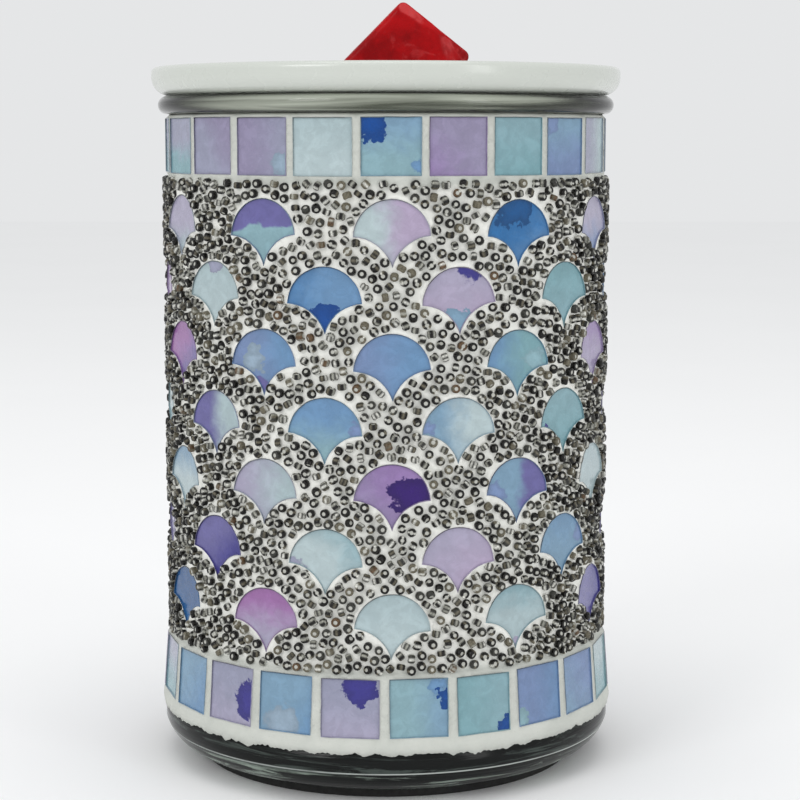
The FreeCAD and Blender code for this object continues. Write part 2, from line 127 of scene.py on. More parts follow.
UPPER_TILES = {
    -5: wash("lavender", "teal", DOWN, 1.2, -0.2),
    -4: wash("lavender", "teal", DOWN, 1.2, -0.2),
    -3: wash("mauve", "lavender", DOWN_LEFT, 0.8, 0.1),
    -2: wash("mauve", "lavender", RIGHT, 0.6, -0.1, None, ("haze", (0.8, -0.6), 0.5)),
    -1: wash("mist", "ice", DOWN, 0.6),
    0: wash("sky", "aqua", DOWN, 0.8, 0.1, ("cobalt", (-0.70, 0.72), 0.60), ("azure", (1.0, -0.7), 0.34)),
    1: wash("mauve", "orchid", DOWN_LEFT, 0.5, -0.45),
    2: wash("teal", "aqua", UP, 0.6, 0.1),
    3: wash("sky", "periwinkle", DOWN, 0.8, 0.1, None, ("periwinkle", (-0.8, 0.9), 0.5)),
    4: wash("lavender", "mist", RIGHT, 0.7, -0.1),
    5: wash("lavender", "mist", DOWN, 0.7, -0.1),
}
LOWER_TILES = {
    -5: wash("lavender", "teal", DOWN, 0.7),
    -4: wash("sky", "azure", DOWN_RIGHT, 0.6, -0.2),
    -3: wash("lavender", "lilac", DOWN, 0.5, -0.2, ("indigo", (0.9, -0.15), 0.72)),
    -2: wash("sky", "azure", DOWN_RIGHT, 0.5, -0.4, None, ("haze", (-0.15, -0.75), 0.75)),
    -1: wash("lavender", "lilac", DOWN, 0.5, -0.2, ("indigo", (0.3, 0.75), 0.66)),
    0: wash("aqua", "sky", RIGHT, 0.7, -0.2, ("cobalt", (1.0, 0.35), 0.34), ("azure", (0.7, 0.75), 0.4)),
    1: wash("teal", "aqua", RIGHT, 0.5, 0.0, ("cobalt", (0.95, -0.85), 0.40)),
    2: wash("periwinkle", "azure", RIGHT, 0.4, -0.3, ("aqua", (-0.95, -0.95), 0.55)),
    3: wash("periwinkle", "sky", DOWN_LEFT, 0.5, -0.2),
    4: wash("mist", "teal", DOWN, 0.8),
}
SCALE_TILES = {
    (1, -2): wash("lilac", "mist", DOWN, 1.0, -0.3),
    (1, -1): wash("violet", "aqua", DOWN, 12.0, 1.6),
    (1, 0): wash("ice", "pink", RIGHT, 1.3, 0.15),
    (1, 1): wash("blue", "azure", DOWN_RIGHT, 0.7, -0.4, ("navy", (-0.15, 0.70), 0.62)),
    (1, 2): wash("lilac", "periwinkle", DOWN, 0.9, -0.1),
    (2, -2): wash("mist", "ice", DOWN, 0.6, 0.0, ("lavender", (0.0, 0.95), 0.3)),
    (2, -1): wash("azure", "blue", LEFT, 0.5, -0.4, ("cobalt", (-0.05, -0.66), 0.52)),
    (2, 0): wash("lilac", "pink", DOWN, 0.6, 0.0, ("sky", (0.0, -0.72), 0.54), ("indigo", (0.3, 1.02), 0.50)),
    (2, 1): wash("teal", "aqua", DOWN, 0.5, -0.1),
    (3, -2): wash("magenta", "violet", DOWN_RIGHT, 0.8, -0.1),
    (3, -1): wash("periwinkle", "azure", RIGHT, 0.8, -0.1, ("haze", (-0.3, 0.1), 0.40), ("violet", (0.0, -0.9), 0.5)),
    (3, 0): wash("azure", "periwinkle", LEFT, 0.7, -0.1),
    (3, 1): wash("azure", "teal", RIGHT, 0.9, 0.25, None, ("aqua", (0.55, 0.1), 0.4)),
    (3, 2): wash("orchid", "lilac", DOWN, 0.6, 0.1),
    (4, -2): wash("violet", "mist", RIGHT, 1.6, -0.1),
    (4, -1): wash("azure", "aqua", DOWN, 0.9, -0.12, None, ("periwinkle", (1.0, -0.05), 0.40)),
    (4, 0): wash("sky", "ice", RIGHT, 1.2, 0.1, None, ("periwinkle", (-0.9, 0.1), 0.3)),
    (4, 1): wash("teal", "aqua", UP, 0.5, -0.1, ("indigo", (-0.85, -0.2), 0.26)),
    (5, -2): wash("sky", "ice", DOWN, 1.0, 0.3),
    (5, -1): wash("lilac", "mist", RIGHT, 0.6),
    (5, 0): wash("orchid", "mauve", DOWN_LEFT, 0.6, -0.3, ("plum", (0.50, 0.06), 0.64)),
    (5, 1): wash("sky", "violet", RIGHT, 2.6, -0.6, None, ("periwinkle", (-0.7, -0.1), 0.4)),
    (5, 2): wash("mist", "ice", DOWN, 0.6),
    (6, -2): wash("violet", "indigo", DOWN_RIGHT, 0.9, -0.1),
    (6, -1): wash("aqua", "ice", DOWN_LEFT, 0.9, 0.5, None, ("lavender", (-0.95, -0.2), 0.4)),
    (6, 0): wash("lilac", "pink", DOWN_RIGHT, 0.6),
    (6, 1): wash("sky", "azure", UP, 0.5, -0.4, None, ("periwinkle", (0.9, 0.3), 0.35)),
    (7, -2): wash("navy", "blue", DOWN, 0.7, -0.4),
    (7, -1): wash("magenta", "lilac", DOWN, 0.8, 0.05),
    (7, 0): wash("mist", "ice", DOWN, 0.7),
    (7, 1): wash("aqua", "mist", DOWN, 1.2, 0.6, None, ("lilac", (0.1, -0.95), 0.4)),
    (7, 2): wash("violet", "indigo", RIGHT, 0.9, -0.2),
}
ANY_WASHES = [
    ("ice", "aqua"),
    ("lilac", "pink"),
    ("azure", "sky"),
    ("mauve", "lavender"),
    ("teal", "aqua"),
    ("periwinkle", "sky"),
    ("violet", "lilac"),
    ("mist", "lilac"),
    ("orchid", "pink"),
    ("blue", "azure"),
]
ANY_BLOTS = ["cobalt", "indigo", "violet", "navy", "ice", "plum", "azure"]


def any_wash(laid):
    """Paint for a tile that has no recipe of its own."""
    first, second = laid.choice(ANY_WASHES)
    turn = laid.uniform(0, 2 * math.pi)
    towards = (math.cos(turn), math.sin(turn))
    blot = None
    if laid.random() < 0.45:
        place = (laid.uniform(-0.8, 0.8), laid.uniform(-0.8, 0.8))
        blot = (laid.choice(ANY_BLOTS), place, laid.uniform(0.2, 0.5))
    return wash(first, second, towards, laid.choice([0.5, 0.8, 1.3]), laid.uniform(-0.3, 0.3), blot)


# --- Node-built materials ---------------------------------------------------------------------------
class Look:
    """A material under construction. Constants sit on the shader's own sockets; nodes vary the rest."""

    def __init__(self, name, color=(0.8, 0.8, 0.8, 1.0), **sockets):
        self.material = bpy.data.materials.new(name)
        self.material.use_nodes = True
        self.tree = self.material.node_tree
        self.shader = self.tree.nodes["Principled BSDF"]
        self.shader.inputs["Base Color"].default_value = color
        for socket, value in sockets.items():
            self.shader.inputs[socket.replace("_", " ").title().replace("Ior", "IOR")].default_value = value
        self.place = self.node("ShaderNodeTexCoord").outputs["Object"]

    def node(self, kind, inputs=(), **settings):
        made = self.tree.nodes.new(kind)
        for key, value in settings.items():
            setattr(made, key, value)
        for key, value in dict(inputs).items():
            if isinstance(value, bpy.types.NodeSocket):
                self.tree.links.new(value, made.inputs[key])
            else:
                made.inputs[key].default_value = value
        return made

    def feed(self, socket, value):
        self.tree.links.new(value, self.shader.inputs[socket])

    def noise(self, scale, detail=3.0, roughness=0.55, vector=None, distortion=0.0):
        inputs = {
            "Vector": vector or self.place,
            "Scale": scale,
            "Detail": detail,
            "Roughness": roughness,
            "Distortion": distortion,
        }
        return self.node("ShaderNodeTexNoise", inputs).outputs["Fac"]

    def cells(self, scale, vector=None, feature="F1"):
        inputs = {"Vector": vector or self.place, "Scale": scale}
        return self.node("ShaderNodeTexVoronoi", inputs, feature=feature).outputs["Distance"]

    def sum(self, operation, *values):
        return self.node("ShaderNodeMath", dict(enumerate(values)), operation=operation).outputs[0]

    def spread(self, value, low, high, new_low=0.0, new_high=1.0):
        """Maps low..high to new_low..new_high with a smooth ease, held at both ends."""
        inputs = {0: value, 1: low, 2: high, 3: new_low, 4: new_high}
        return self.node("ShaderNodeMapRange", inputs, interpolation_type="SMOOTHSTEP").outputs[0]

    def mix(self, factor, first, second, blend="MIX"):
        made = self.node("ShaderNodeMix", data_type="RGBA", blend_type=blend)
        for index, value in ((0, factor), (6, first), (7, second)):
            if isinstance(value, bpy.types.NodeSocket):
                self.tree.links.new(value, made.inputs[index])
            else:
                made.inputs[index].default_value = value
        return made.outputs[2]

    def attribute(self, name, output="Color"):
        return self.node("ShaderNodeAttribute", attribute_name=name).outputs[output]

    def bump(self, height, distance, strength=1.0):
        inputs = {"Height": height, "Distance": distance, "Strength": strength}
        self.feed("Normal", self.node("ShaderNodeBump", inputs).outputs["Normal"])

    def mottle(self, color, other, scale, detail=4.0):
        """Base colour that drifts between two close colours."""
        self.feed("Base Color", self.mix(self.noise(scale, detail), color, other))

    def worn(self, low, high, scale):
        """Roughness that varies over the surface."""
        self.feed("Roughness", self.spread(self.noise(scale, 5.0), 0.3, 0.7, low, high))


def painted_tile_look():
    """Watercolour seen through a flat glass tile."""
    look = Look("tile_paint", roughness=0.30, ior=1.5, coat_weight=0.30, coat_roughness=0.05)
    look.shader.inputs["Specular IOR Level"].default_value = 0.2
    at = look.attribute("tile_at", "Vector")
    across, up, seed = look.node("ShaderNodeSeparateXYZ", {0: at}).outputs
    wavy = look.noise(1.1, 3.0, 0.5, at, 0.4)
    jagged = look.noise(2.4, 6.0, 0.62, at, 0.9)
    grainy = look.noise(16.0, 4.0, 0.7, at)
    cloudy = look.noise(2.2, 5.0, 0.6, at, 0.8)
    warp = look.node("ShaderNodeTexNoise", {"Vector": at, "Scale": 2.6, "Detail": 4.0, "Roughness": 0.6})
    shove = look.node("ShaderNodeVectorMath", {0: warp.outputs["Color"], 1: (0.5, 0.5, 0.5)}, operation="SUBTRACT")
    shove = look.node("ShaderNodeVectorMath", {0: shove.outputs[0], 1: (0.8, 1.0, 0)}, operation="MULTIPLY")
    flat = look.node("ShaderNodeCombineXYZ", {0: across, 1: up}).outputs[0]
    flat = look.node("ShaderNodeVectorMath", {0: flat, 1: shove.outputs[0]}, operation="ADD").outputs[0]

    direction = look.attribute("wash_to", "Vector")
    toward_x, toward_y, shift = look.node("ShaderNodeSeparateXYZ", {0: direction}).outputs
    along = look.sum("ADD", look.sum("MULTIPLY", across, toward_x), look.sum("MULTIPLY", up, toward_y))
    sharpness = look.sum("ADD", look.sum("ABSOLUTE", toward_x), look.sum("ABSOLUTE", toward_y))
    drift = look.sum("MULTIPLY", look.sum("SUBTRACT", wavy, 0.5), look.sum("MULTIPLY", sharpness, 0.9))
    drift = look.sum("ADD", drift, look.sum("MULTIPLY", look.sum("SUBTRACT", jagged, 0.5), 0.6))
    reach = look.sum("ADD", look.sum("ADD", along, drift), shift)
    color = look.mix(
        look.spread(reach, -0.6, 0.6), look.attribute("paint_first"), look.attribute("paint_second")
    )

    for name, edge in (("patch", 0.72), ("blot", 0.92)):
        spot = look.attribute(name + "_at", "Vector")
        spot_x, spot_y, size = look.node("ShaderNodeSeparateXYZ", {0: spot}).outputs
        middle = look.node("ShaderNodeCombineXYZ", {0: spot_x, 1: spot_y}).outputs[0]
        away = look.node("ShaderNodeVectorMath", {0: flat, 1: middle}, operation="DISTANCE").outputs["Value"]
        away = look.sum("DIVIDE", away, look.sum("MAXIMUM", size, 0.001))
        away = look.sum("ADD", away, look.sum("MULTIPLY", look.sum("SUBTRACT", jagged, 0.5), 0.55))
        inside = look.sum("MULTIPLY", look.spread(away, edge, 1.0, 1.0, 0.0), look.sum("GREATER_THAN", size, 0.01))
        pooled = look.spread(look.sum("ADD", away, look.sum("SUBTRACT", cloudy, 0.5)), 0.3, 0.95, 1.12, 0.84)
        paint = look.mix(1.0, look.attribute(name + "_paint"), pooled, "MULTIPLY")
        color = look.mix(inside, color, paint)

    veins = look.sum("ABSOLUTE", look.sum("SUBTRACT", cloudy, 0.5))
    color = look.mix(1.0, color, look.spread(veins, 0.0, 0.03, 0.955, 1.0), "MULTIPLY")
    color = look.mix(1.0, color, look.spread(cloudy, 0.25, 0.75, 0.90, 1.10), "MULTIPLY")
    color = look.mix(1.0, color, look.spread(grainy, 0.2, 0.8, 0.97, 1.03), "MULTIPLY")
    look.feed("Base Color", color)
    look.feed("Roughness", look.spread(look.noise(500.0, 3.0), 0.3, 0.7, 0.22, 0.36))
    look.bump(look.noise(140.0, 2.0), 0.05 * MM, 0.25)
    return look.material


def tile_edge_look():
    """The edge of a tile: glass with some of the tile's own paint in it, with painted shade where the edge faces up and
    to the left.
    """
    look = Look("tile_edge", roughness=0.2, ior=1.5, coat_weight=0.3, coat_roughness=0.08)
    tint = look.mix(0.5, look.attribute("paint_first"), look.attribute("paint_second"))
    grain = look.spread(look.noise(700.0, 3.0), 0.3, 0.7, 0.85, 1.1)
    # Painted shade from the edge's facing, with a fine grain.
    shade = look.sum("MULTIPLY", look.attribute("painted_edge_shade", "Fac"), grain)
    look.feed("Base Color", look.mix(1.0, tint, shade, "MULTIPLY"))
    return look.material


def grout_look():
    look = Look("grout", roughness=0.85, specular_ior_level=0.25)
    pale = linear(206, 208, 201)
    dirty = linear(176, 178, 168)
    patchy = look.spread(look.noise(120.0, 6.0, 0.65), 0.3, 0.72)
    color = look.mix(patchy, pale, linear(196, 199, 192))
    specks = look.spread(look.cells(900.0), 0.06, 0.16, 1.0, 0.0)
    color = look.mix(look.sum("MULTIPLY", specks, 0.35), color, dirty)
    height = look.node("ShaderNodeSeparateXYZ", {0: look.place}).outputs[2]
    low = look.spread(height, 28.5 * MM, 31.0 * MM)
    high = look.spread(height, 130.0 * MM, 132.5 * MM, 1.0, 0.0)
    color = look.mix(look.sum("MULTIPLY", low, high), color, linear(242, 242, 236))
    look.feed("Base Color", color)
    height = look.sum("ADD", look.noise(900.0, 6.0, 0.7), look.sum("MULTIPLY", look.noise(3200.0, 3.0), 0.35))
    look.bump(height, 0.12 * MM, 0.8)
    look.worn(0.75, 0.95, 500.0)
    return look.material


def bead_look():
    """Dark silver-lined glass: its tint holds the pale lining and painted glints, flecked with painted sparkle."""
    look = Look("bead_glass", roughness=0.24, ior=1.5, coat_weight=0.15, coat_roughness=0.06)
    look.shader.inputs["Specular IOR Level"].default_value = 0.2
    # Painted sparkle: fine lighter and darker flecks on the tint.
    painted_sparkle = look.spread(look.noise(2400.0, 4.0, 0.6), 0.3, 0.7, 0.6, 1.3)
    look.feed("Base Color", look.mix(1.0, look.attribute("bead_tint_and_glints"), painted_sparkle, "MULTIPLY"))
    look.feed("Roughness", look.spread(look.noise(1500.0, 3.0), 0.3, 0.7, 0.16, 0.36))
    return look.material


def bead_core_look():
    """What shows in a bead's hole: pale grout and silver lining."""
    look = Look("bead_core", roughness=0.5)
    look.mottle(linear(206, 206, 198), linear(160, 160, 152), 1500.0)
    look.worn(0.4, 0.6, 1500.0)
    return look.material


def jar_glass_look():
    """Thick pressed glass with painted light: pale streaks and painted highlights at the lip, and painted shade where
    it is seen edge-on; a dark heel with painted glints and a painted highlight line.
    """
    look = Look("jar_glass", linear(190, 196, 184), roughness=0.03, ior=1.4, transmission_weight=1.0)
    look.shader.inputs["Specular IOR Level"].default_value = 0.25
    sideways, forward, height = look.node("ShaderNodeSeparateXYZ", {0: look.place}).outputs
    heel = look.spread(height, 12.0 * MM, 16.0 * MM, 1.0, 0.0)
    # Painted highlights on the lip: lighter at five places round the jar.
    painted_lip_highlights = look.sum("COSINE", look.sum("MULTIPLY", look.sum("ARCTAN2", sideways, look.sum("MULTIPLY", forward, -1.0)), 5.0))
    # Painted shade where the glass is seen edge-on.
    edge_on_painted_shade = look.node("ShaderNodeLayerWeight", {"Blend": 0.35}).outputs["Facing"]
    edge_on_painted_shade = look.spread(edge_on_painted_shade, 0.12, 0.55)
    drawn = look.node("ShaderNodeVectorMath", {0: look.place, 1: (16.0, 16.0, 420.0)}, operation="MULTIPLY").outputs[0]
    streaks = look.noise(1.0, 3.0, 0.5, drawn, 0.6)
    # Painted light on the lip: pale streaks and highlights over a dark olive, then painted shade where seen edge-on.
    pale = look.sum("SUBTRACT", streaks, look.sum("MULTIPLY", painted_lip_highlights, 0.09))
    lip = look.mix(look.spread(pale, 0.36, 0.62), linear(96, 102, 86), linear(208, 214, 198))
    lip = look.mix(edge_on_painted_shade, lip, linear(26, 27, 24))
    # Painted glints in the heel: pale streaks round it, paler below its curve.
    turned = look.node("ShaderNodeVectorMath", {0: look.place, 1: (45.0, 45.0, 520.0)}, operation="MULTIPLY").outputs[0]
    painted_heel_glints = look.noise(1.0, 5.0, 0.65, turned, 0.8)
    below = look.spread(height, 6.4 * MM, 7.4 * MM, 1.0, 0.0)
    painted_heel_glints = look.spread(painted_heel_glints, 0.50, 0.64, 0.0, 1.0)
    painted_glint_colour = look.mix(below, linear(66, 74, 70), linear(138, 150, 140))
    # The heel's dark colour stands for the black base plate and the unlit inside seen through the glass: partly that
    # plate's own colour, partly painted shade.
    foot = look.mix(painted_heel_glints, linear(12, 15, 14), painted_glint_colour)
    wall = look.mix(look.noise(40.0, 3.0), linear(226, 232, 224), linear(212, 219, 210))
    rim = look.spread(height, 140.0 * MM, 144.0 * MM)
    color = look.mix(heel, look.mix(rim, wall, lip), foot)
    # A painted highlight line round the heel where it starts to curve under: paler, less clear and rougher than the
    # glass beside it.
    painted_highlight_line = look.sum("ABSOLUTE", look.sum("SUBTRACT", height, 7.45 * MM))
    painted_highlight_line = look.spread(painted_highlight_line, 0.10 * MM, 0.22 * MM, 1.0, 0.0)
    painted_highlight_line = look.sum("MULTIPLY", painted_highlight_line, look.spread(look.noise(55.0, 4.0), 0.3, 0.55, 0.25, 1.0))
    look.feed("Base Color", look.mix(painted_highlight_line, color, linear(176, 182, 178)))
    # Less clear where streaky above the heel, so that the lip's painted light shows.
    streaky_transmission = look.spread(look.sum("MULTIPLY", streaks, look.sum("SUBTRACT", 1.0, heel)), 0.3, 0.6, 1.0, 0.42)
    # Less clear where the painted glints are, so that they show.
    painted_glint_cover = look.sum("MULTIPLY", look.sum("MULTIPLY", painted_heel_glints, heel), look.spread(below, 0.0, 1.0, 0.35, 0.80))
    clear = look.sum("MULTIPLY", look.sum("SUBTRACT", 1.0, painted_highlight_line), look.sum("SUBTRACT", 1.0, painted_glint_cover))
    clear = look.sum("MULTIPLY", clear, look.spread(heel, 0.0, 1.0, 1.0, 0.12))
    look.feed("Transmission Weight", look.sum("MULTIPLY", streaky_transmission, clear))
    drawn_out = look.spread(look.sum("MAXIMUM", rim, heel), 0.0, 1.0, 0.12, 1.0)
    look.bump(look.sum("MULTIPLY", streaks, drawn_out), 0.6 * MM, 0.5)
    rough = look.spread(look.noise(240.0, 4.0), 0.4, 0.8, 0.01, 0.10)
    rough = look.sum("MAXIMUM", rough, look.sum("MULTIPLY", heel, 0.16))
    look.feed("Roughness", look.sum("MAXIMUM", rough, look.sum("MULTIPLY", painted_highlight_line, 0.5)))
    return look.material


def dish_look():
    look = Look("dish_glaze", roughness=0.28, ior=1.5, coat_weight=0.45, coat_roughness=0.12)
    color = look.mix(look.noise(30.0, 2.0), linear(202, 206, 199), linear(197, 201, 193))
    pits = look.spread(look.cells(620.0), 0.03, 0.08, 1.0, 0.0)
    color = look.mix(look.sum("MULTIPLY", pits, 0.10), color, linear(170, 170, 160))
    look.feed("Base Color", color)
    look.bump(look.noise(60.0, 2.0), 0.15 * MM, 0.15)
    look.feed("Roughness", look.spread(look.noise(150.0, 4.0), 0.3, 0.7, 0.22, 0.38))
    return look.material


def wax_look():
    """Deep red wax with a pale bloom on its broken faces."""
    look = Look(
        "red_wax",
        roughness=0.38,
        ior=1.44,
        subsurface_weight=0.22,
        subsurface_scale=0.0016,
        coat_weight=0.05,
        coat_roughness=0.25,
        specular_ior_level=0.12,
    )
    look.shader.inputs["Subsurface Radius"].default_value = (1.0, 0.12, 0.10)
    deep = linear(140, 0, 6)
    bright = linear(176, 4, 12)
    bloom = linear(196, 62, 64)
    color = look.mix(look.spread(look.noise(130.0, 4.0, 0.6), 0.35, 0.65), deep, bright)
    flaws = look.spread(look.noise(190.0, 5.0, 0.7, None, 1.2), 0.55, 0.72, 0.0, 0.45)
    broken = look.spread(look.attribute("broken", "Fac"), 0.1, 0.9)
    patchy = look.spread(look.noise(150.0, 4.0, 0.6, None, 0.8), 0.38, 0.62)
    bloomed = look.sum("MAXIMUM", flaws, look.sum("MULTIPLY", broken, look.sum("MULTIPLY", patchy, 0.85)))
    color = look.mix(bloomed, color, bloom)
    look.feed("Base Color", color)
    look.feed("Roughness", look.spread(look.noise(300.0, 4.0), 0.3, 0.7, 0.28, 0.55))
    look.bump(look.noise(420.0, 5.0, 0.6), 0.22 * MM, 0.5)
    return look.material


def plain_look(name, color, other, scale=300.0, bump_mm=0.05, rough=(0.35, 0.55), **sockets):
    """A finish with colour drift, uneven gloss and a fine surface."""
    look = Look(name, color, **sockets)
    look.mottle(color, other, scale)
    look.worn(rough[0], rough[1], scale * 1.7)
    look.bump(look.noise(scale * 6.0, 4.0), bump_mm * MM, 0.5)
    return look.material


def metal_look(name, color, other, rough=(0.22, 0.4), stretch=(1.0, 1.0, 30.0)):
    """Turned or drawn metal, with fine lines round the axis."""
    look = Look(name, color, metallic=1.0)
    lines = look.node("ShaderNodeVectorMath", {0: look.place, 1: stretch}, operation="MULTIPLY").outputs[0]
    grain = look.noise(260.0, 5.0, 0.65, lines)
    look.feed("Base Color", look.mix(look.noise(180.0, 4.0), color, other))
    look.feed("Roughness", look.spread(grain, 0.3, 0.7, rough[0], rough[1]))
    look.bump(grain, 0.03 * MM, 0.4)
    return look.material


# --- Meshes -----------------------------------------------------------------------------------------
class Pile:
    """Many small parts that become one mesh, with values painted on their points."""

    def __init__(self):
        self.points = []
        self.faces = []
        self.slots = []
        self.values = {}

    def add(self, points, faces, slots, values):
        start = len(self.points)
        self.points += points
        self.faces += [tuple(start + index for index in face) for face in faces]
        self.slots += slots
        for name, value in values.items():
            column = value if isinstance(value, list) else [value] * len(points)
            self.values.setdefault(name, []).extend(column)

    def make(self, name, *materials):
        mesh = bpy.data.meshes.new(name)
        mesh.from_pydata(self.points, [], self.faces)
        paint_points(mesh, self.values)
        mesh.polygons.foreach_set("material_index", self.slots)
        return new_piece(name, mesh, *materials)


def paint_points(mesh, values):
    """Stores each named list of vectors or colours as an attribute of the mesh's points."""
    for name, column in values.items():
        data = np.array(column, dtype=np.float32)
        kind, field = ("FLOAT_COLOR", "color") if data.shape[1] == 4 else ("FLOAT_VECTOR", "vector")
        mesh.attributes.new(name, kind, "POINT").data.foreach_set(field, data.ravel())


def new_piece(name, mesh, *materials):
    """Links a mesh as an object with these materials."""
    piece = bpy.data.objects.new(name, mesh)
    bpy.context.scene.collection.objects.link(piece)
    for material in materials:
        mesh.materials.append(material)
    return piece


def ship(piece, body, slot, *nodes):
    """A finished piece: it rides on its body and stands for the nodes, which it hides. The slot is not used."""
    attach(piece, body)
    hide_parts(*nodes)


def direction(angle):
    """Outwards at that angle round the jar."""
    return Vector((math.sin(angle), -math.cos(angle), 0))


def arc(start, middle, end, steps):
    """Points along the circle through three points, without the last."""
    a, b, c = (Vector(p) for p in (start, middle, end))
    scale = 2 * (a.x * (b.y - c.y) + b.x * (c.y - a.y) + c.x * (a.y - b.y))
    squares = [p.length_squared for p in (a, b, c)]
    centre = Vector((
        (squares[0] * (b.y - c.y) + squares[1] * (c.y - a.y) + squares[2] * (a.y - b.y)) / scale,
        (squares[0] * (c.x - b.x) + squares[1] * (a.x - c.x) + squares[2] * (b.x - a.x)) / scale,
    ))
    first = a - centre
    sweep = first.angle_signed(b - centre) + (b - centre).angle_signed(c - centre)
    turned = [Matrix.Rotation(-sweep * step / steps, 2) @ first for step in range(steps)]
    return [centre + arm for arm in turned]


def lathe(name, profile, steps, material):
    """A closed turned body from an outline of (radius, height); points on the axis become one."""
    mesh = bmesh.new()
    spokes = [direction(2 * math.pi * step / steps) for step in range(steps)]
    rings = []
    for radius, height in profile:
        if radius < 1e-6:
            centre = mesh.verts.new((0, 0, height))
            rings.append([centre] * steps)
            continue
        rings.append([mesh.verts.new(spoke * radius + Vector((0, 0, height))) for spoke in spokes])
    closed = profile[0][0] > 1e-6
    pairs = list(zip(rings, rings[1:])) + ([(rings[-1], rings[0])] if closed else [])
    for low, high in pairs:
        for step in range(steps):
            after = (step + 1) % steps
            corners = [low[step], low[after], high[after], high[step]]
            unique = [c for i, c in enumerate(corners) if c not in corners[:i]]
            if len(unique) > 2:
                mesh.faces.new(unique)
    bmesh.ops.recalc_face_normals(mesh, faces=mesh.faces)
    for face in mesh.faces:
        face.smooth = True
    data = bpy.data.meshes.new(name)
    mesh.to_mesh(data)
    mesh.free()
    return new_piece(name, data, material)


def bend(centre, radius, start, end, steps=8):
    """Points round a corner of a profile, from one angle in degrees to another."""
    points = []
    for step in range(steps + 1):
        angle = math.radians(start + (end - start) * step / steps)
        points.append((centre[0] + radius * math.cos(angle), centre[1] + radius * math.sin(angle)))
    return points


# --- Where the CAD model has its tiles --------------------------------------------------------------
class Tile:
    """One flat tile of the CAD model: the middle of its face, its own axes and its size."""

    def __init__(self, corners):
        middle = (corners.min(axis=0) + corners.max(axis=0)) / 2
        self.angle = math.atan2(middle[0], -middle[1])
        out = np.array(direction(self.angle))
        right = np.array((math.cos(self.angle), math.sin(self.angle), 0))
        across = corners @ right
        depth = corners @ out
        height = corners[:, 2]
        upper = height > height.max() - 0.4 * np.ptp(height)
        lean = depth[~upper].max() - depth[upper].max()
        self.width = np.ptp(across)
        self.height = np.ptp(height)
        tilt = lean / self.height
        sides = (corners[across.argmax()], corners[across.argmin()])
        self.roll = math.atan2(sides[0][2] - sides[1][2], self.width) if len(corners) > 12 else 0.0
        turn = Matrix.Rotation(-self.roll, 3, Vector(out))
        self.out = Vector(out)
        self.right = turn @ Vector(right)
        self.up = turn @ Vector((0, 0, 1)) - self.out * tilt
        face = depth.max() - lean / 2
        centre_across = (across.max() + across.min()) / 2
        centre_height = (height.max() + height.min()) / 2
        self.middle = self.out * face + Vector(right) * centre_across + Vector((0, 0, centre_height))

    def point(self, across, up, out=0.0):
        return self.middle + self.right * across + self.up * up + self.out * out


def cad_tiles(node):
    """The tiles of a CAD node, in order from the front and round to the right."""
    mesh = bmesh.new()
    mesh.from_mesh(NODES[node].data)
    bmesh.ops.remove_doubles(mesh, verts=mesh.verts, dist=0.005 * MM)
    mesh.verts.index_update()
    left = set(mesh.verts)
    tiles = []
    while left:
        group = {left.pop()}
        edge = list(group)
        while edge:
            near = {link.other_vert(corner) for corner in edge for link in corner.link_edges} - group
            group |= near
            edge = list(near)
        left -= group
        corners = sorted(group, key=lambda corner: corner.index)
        tiles.append(Tile(np.array([corner.co for corner in corners])))
    mesh.free()
    return sorted(tiles, key=lambda tile: tile.angle)


def front_numbers(tiles):
    """Pairs of tile and its place counted from the front: 0 is nearest the front, 1 is right of it."""
    pitch = 2 * math.pi / len(tiles)
    nearest = min(tiles, key=lambda tile: abs(tile.angle - pitch / 4))
    return [(tile, round((tile.angle - nearest.angle) / pitch)) for tile in tiles]


# --- Tile outlines ----------------------------------------------------------------------------------
def square_outline(tile, laid):
    """A hand-cut square: nearly straight sides with a little wander."""
    half_width = tile.width / 2
    half_height = tile.height / 2
    corners = [(half_width, -half_height), (half_width, half_height)]
    corners += [(-half_width, half_height), (-half_width, -half_height)]
    points = []
    for start, end in zip(corners, corners[1:] + corners[:1]):
        for step in range(7):
            points.append(Vector(start).lerp(Vector(end), step / 7))
    return wander(points, 0.07 * MM, laid)


def scale_outline(tile, laid):
    """A fan tile: a round crown over two edges that curve in to a tip."""
    half = tile.width / 2
    top = tile.height / 2
    side = top - 0.542 * tile.height
    tip = (0, -top)
    pinch = 0.105 * tile.width
    chord = Vector((half, side)) - Vector(tip)
    inward = Vector((-chord.y, chord.x)).normalized() * pinch
    right_middle = (Vector((half, side)) + Vector(tip)) / 2 + inward
    left_middle = Vector((-right_middle.x, right_middle.y))
    points = arc((half, side), (0, top), (-half, side), 22)
    points += arc((-half, side), left_middle, tip, 9)
    points += arc(tip, right_middle, (half, side), 9)
    return wander(points, 0.09 * MM, laid)


def wander(points, amount, laid):
    """Moves an outline's points a little, as cut by hand."""
    start = laid.uniform(0, 50)
    moved = []
    for index, point in enumerate(points):
        shove = noise.noise_vector(Vector((point.x / MM * 0.45, point.y / MM * 0.45, start)))
        moved.append(point + Vector((shove.x, shove.y)) * amount)
    return moved


def shrink(points, amount):
    """An outline drawn in by an amount, with its corners kept sharp. It runs anticlockwise."""
    drawn = []
    for before, here, after in zip(points[-1:] + points[:-1], points, points[1:] + points[:1]):
        came = (here - before).normalized()
        goes = (after - here).normalized()
        inward = Vector((-came.y - goes.y, came.x + goes.x))
        reach = max(inward.length_squared / 2, 0.5)
        drawn.append(here + inward * amount / reach)
    return drawn


